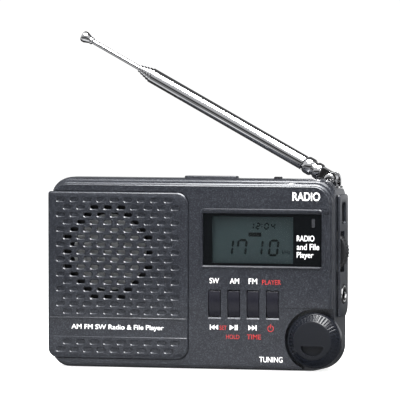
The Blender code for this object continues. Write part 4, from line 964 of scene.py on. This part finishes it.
piece("fold_out_stand", lofted(stand_levels), case_paint, "stand", ["kickstand"], ridges,
      edge=0.2)
for node in SCREWS:
    place, head = middle(node), high_of(node).y
    tip = low_of(node).y
    screw = spun(((0, tip), (0.5, tip), (1.0, tip + 1), (1.0, head - 0.6), (2.2, head - 0.6),
                  (2.2, head - 0.3), (1.9, head - 0.08), (1.3, head), (0, head)),
                 (place.x, place.z), 36)
    cross = [block((place.x - wide, place.z - tall), (place.x + wide, place.z + tall),
                   head - 0.35, head + 2) for wide, tall in ((1.1, 0.24), (0.24, 1.1))]
    piece(node.removeprefix("case_"), screw, steel, "case", [node], cross, edge=0.05)

# ---- Inside -------------------------------------------------------------------------------
# Boards, switches, tuner can, ferrite aerial, speaker basket, cells and contacts keep their CAD
# shapes. Each takes a finish of its own material.
green = Finish("solder_mask", (0.012, 0.085, 0.030), 0.35)
green.feed("Base Color", green.blend(green.ramp(green.flecks(1.6), (0.45, 0.0), (0.55, 1.0)),
                                     (0.010, 0.070, 0.026, 1), (0.022, 0.125, 0.045, 1)))
ferrite_finish = Finish("ferrite", (0.03, 0.03, 0.032), 0.7)
ferrite_finish.patchy(0.6, 0.25, 0.7)
copper = Finish("copper_wire", (0.55, 0.22, 0.09), 0.35, 1.0)
winding = copper.node("ShaderNodeTexWave", {"bands_direction": "X"},
                      {"Vector": copper.place, "Scale": 700.0}, 1)
copper.feed("Roughness", 0.25 + winding * 0.25)
copper.bump(winding, 0.05, 0.6)
cell = Finish("cell_wrap", (0.06, 0.10, 0.22), 0.30)
cell.feed("Base Color", cell.blend(cell.ramp(cell.noise(20.0), (0.45, 0.0), (0.55, 1.0)),
                                   (0.05, 0.09, 0.22, 1), (0.07, 0.12, 0.27, 1)))
diffuser = Finish("diffuser", (0.72, 0.72, 0.70), 0.5)
diffuser.patchy(0.45, 0.15, 4.0)
inner = {
    green: ("key_board", "main_board", "top_board"),
    steel: ("speaker_frame", "tuner_can", "contact_plate_left", "contact_plate_right", "swivel_nut",
            "tuning_shaft", "usb_socket", "tuning_encoder", "volume_pot"),
    ferrite_finish: ("speaker_magnet", "ferrite_rod"),
    copper: ("antenna_coil",),
    black: ("battery_tray", "headphone_jack", "light_switch", "lock_switch", "key_switch_1",
            "key_switch_2", "key_switch_3", "key_switch_4"),
    cell: ("battery_1", "battery_2"),
    diffuser: ("lcd_backlight",),
}
for finish, nodes in inner.items():
    for node in nodes:
        coat(frame["nodes"][node], finish)

# ---- Antenna ------------------------------------------------------------------------------
# A chromed brass telescope of five tubes and a rod, on a forged tongue that tilts between the
# lugs of a swivel. A ribbed collar holds the widest tube, and a flared button ends the rod.
slide = Vector([joint for joint in frame["joints"] if joint["name"] == "mast_2_slide"][0]["axis"])
raise_angle = math.atan2(slide.z, -slide.x)
AT_PIVOT = Matrix.Translation(PIVOT * MM)
LEANING = AT_PIVOT @ Matrix.Rotation(math.pi + raise_angle, 4, "Y")
AIM = LEANING @ Matrix.Rotation(math.radians(-90), 4, "Z")


def along(node):
    """How far a node reaches from the pivot along the antenna, and its radius across it."""
    points = [(vertex.co / MM - PIVOT) for vertex in frame["nodes"][node].data.vertices]
    ways = [point.dot(slide) for point in points]
    return min(ways), max(ways), max(abs(point.y) for point in points)


def pole(profile, steps=64, closed=False):
    """Turn (radius, distance from the pivot) points about the antenna's line."""
    return moved(spun(profile, (0, 0), steps, closed), AIM)


tongue = prism(arc((0, 0), 2.6, 271, 90) + [(5.6, -2.6), (5.6, 2.6)], -2.0, 2.0)
ribbed = pole(((0, 5.3), (2.95, 5.3), (3.35, 5.5), (3.5, 5.9), (3.5, 7.5), (3.3, 7.95),
               (2.95, 8.15), (2.95, 9.1), (3.4, 9.3), (3.68, 9.8), (3.68, 12.2), (3.45, 12.8),
               (3.1, 13.2), (2.9, 13.6), (2.3, 13.6), (2.3, 11.8), (0, 11.8)))
tongue_bore = moved(disc(1.5, (0, 0), -5, 5, 24), AT_PIVOT)
piece("antenna_knuckle", moved(tongue, LEANING), chrome, "mast_1",
      ["antenna_tongue"], [tongue_bore], [ribbed], edge=0.18)
for number in range(1, 6):
    node = f"antenna_tube_{number}"
    start, end, radius = along(node)
    tube = pole(((radius - 0.2, start), (radius, start), (radius, end - 1.1),
                 (radius - 0.05, end - 0.95), (radius - 0.05, end - 0.75), (radius, end - 0.6),
                 (radius, end - 0.25), (radius - 0.18, end), (radius - 0.2, end)), closed=True)
    piece(f"telescope_{number}", tube, chrome, f"mast_{number}", [node], edge=0)
start, end, radius = along("antenna_rod")
piece("telescope_rod", pole(((0, start), (radius, start), (radius, end), (0, end)), 40), chrome,
      "whip", ["antenna_rod"], edge=0.1)
start, end, radius = along("antenna_tip")
piece("telescope_button", pole(((0, start), (1.35, start), (1.5, start + 0.2), (1.55, start + 0.9),
                                (1.45, start + 1.2), (1.6, start + 1.5), (radius - 0.05, end - 1.9),
                                (radius, end - 1.5), (radius - 0.02, end - 0.7),
                                (radius - 0.3, end - 0.2), (radius - 0.8, end),
                                (0, end + 0.05))),
      chrome, "whip", ["antenna_tip"], edge=0.06)
swivel_low = low_of("swivel_base").z
disc_top = PIVOT.z - 2.9
stem = spun(((0, swivel_low), (2.3, swivel_low), (2.6, swivel_low + 0.3), (2.6, LEDGE_TOP + 0.3),
             (4.4, LEDGE_TOP + 0.3), (4.6, LEDGE_TOP + 0.5), (4.6, disc_top - 0.2), (4.4, disc_top),
             (0, disc_top)), (0, 0), 56)
stem = moved(stem, Matrix.Translation(Vector((PIVOT.x, PIVOT.y, 0)) * MM) @ UPRIGHT)
lug_points = [(PIVOT.x - 3.0, disc_top - 0.3), (PIVOT.x + 3.0, disc_top - 0.3)]
lug_points += arc((PIVOT.x, PIVOT.z), 3.0, 181)
lugs = [prism(lug_points, PIVOT.y + start, PIVOT.y + start + 1.4) for start in (-3.7, 2.3)]
piece("swivel_fork", stem, chrome, "swivel", ["swivel_base"],
      [moved(disc(1.5, (0, 0), -8, 8, 24), AT_PIVOT)], lugs, edge=0.15)
pin_low, pin_high = low_of("pivot_screw").y, high_of("pivot_screw").y
pin = spun(((0, pin_low), (1.3, pin_low), (1.9, pin_low + 0.12), (2.2, pin_low + 0.35),
            (2.2, pin_low + 0.6), (1.2, pin_low + 0.6), (1.2, pin_high), (0, pin_high)),
           (PIVOT.x, PIVOT.z), 40)
piece("fork_screw", pin, chrome, "swivel", ["pivot_screw"],
      [block((PIVOT.x - 3, PIVOT.z - 0.28), (PIVOT.x + 3, PIVOT.z + 0.28), pin_low - 1,
             pin_low + 0.28)],
      edge=0.06)

# ---- Floor --------------------------------------------------------------------------------
# A pale, matt table top that runs back to the white of the room. It glows a little, so that no
# line shows where it ends, and gloss and chrome don't mirror it.
sheet = bmesh.new()
bmesh.ops.create_grid(sheet, x_segments=4, y_segments=4, size=2.2)
floor_finish = Finish("pale_floor", (0.60, 0.60, 0.60), 0.8, Emission_Strength=0.85,
                      Emission_Color=(1, 1, 1, 1))
floor_finish.patchy(0.75, 0.1, 300.0)
floor = new_object("floor", sheet, floor_finish)
floor.visible_glossy = False
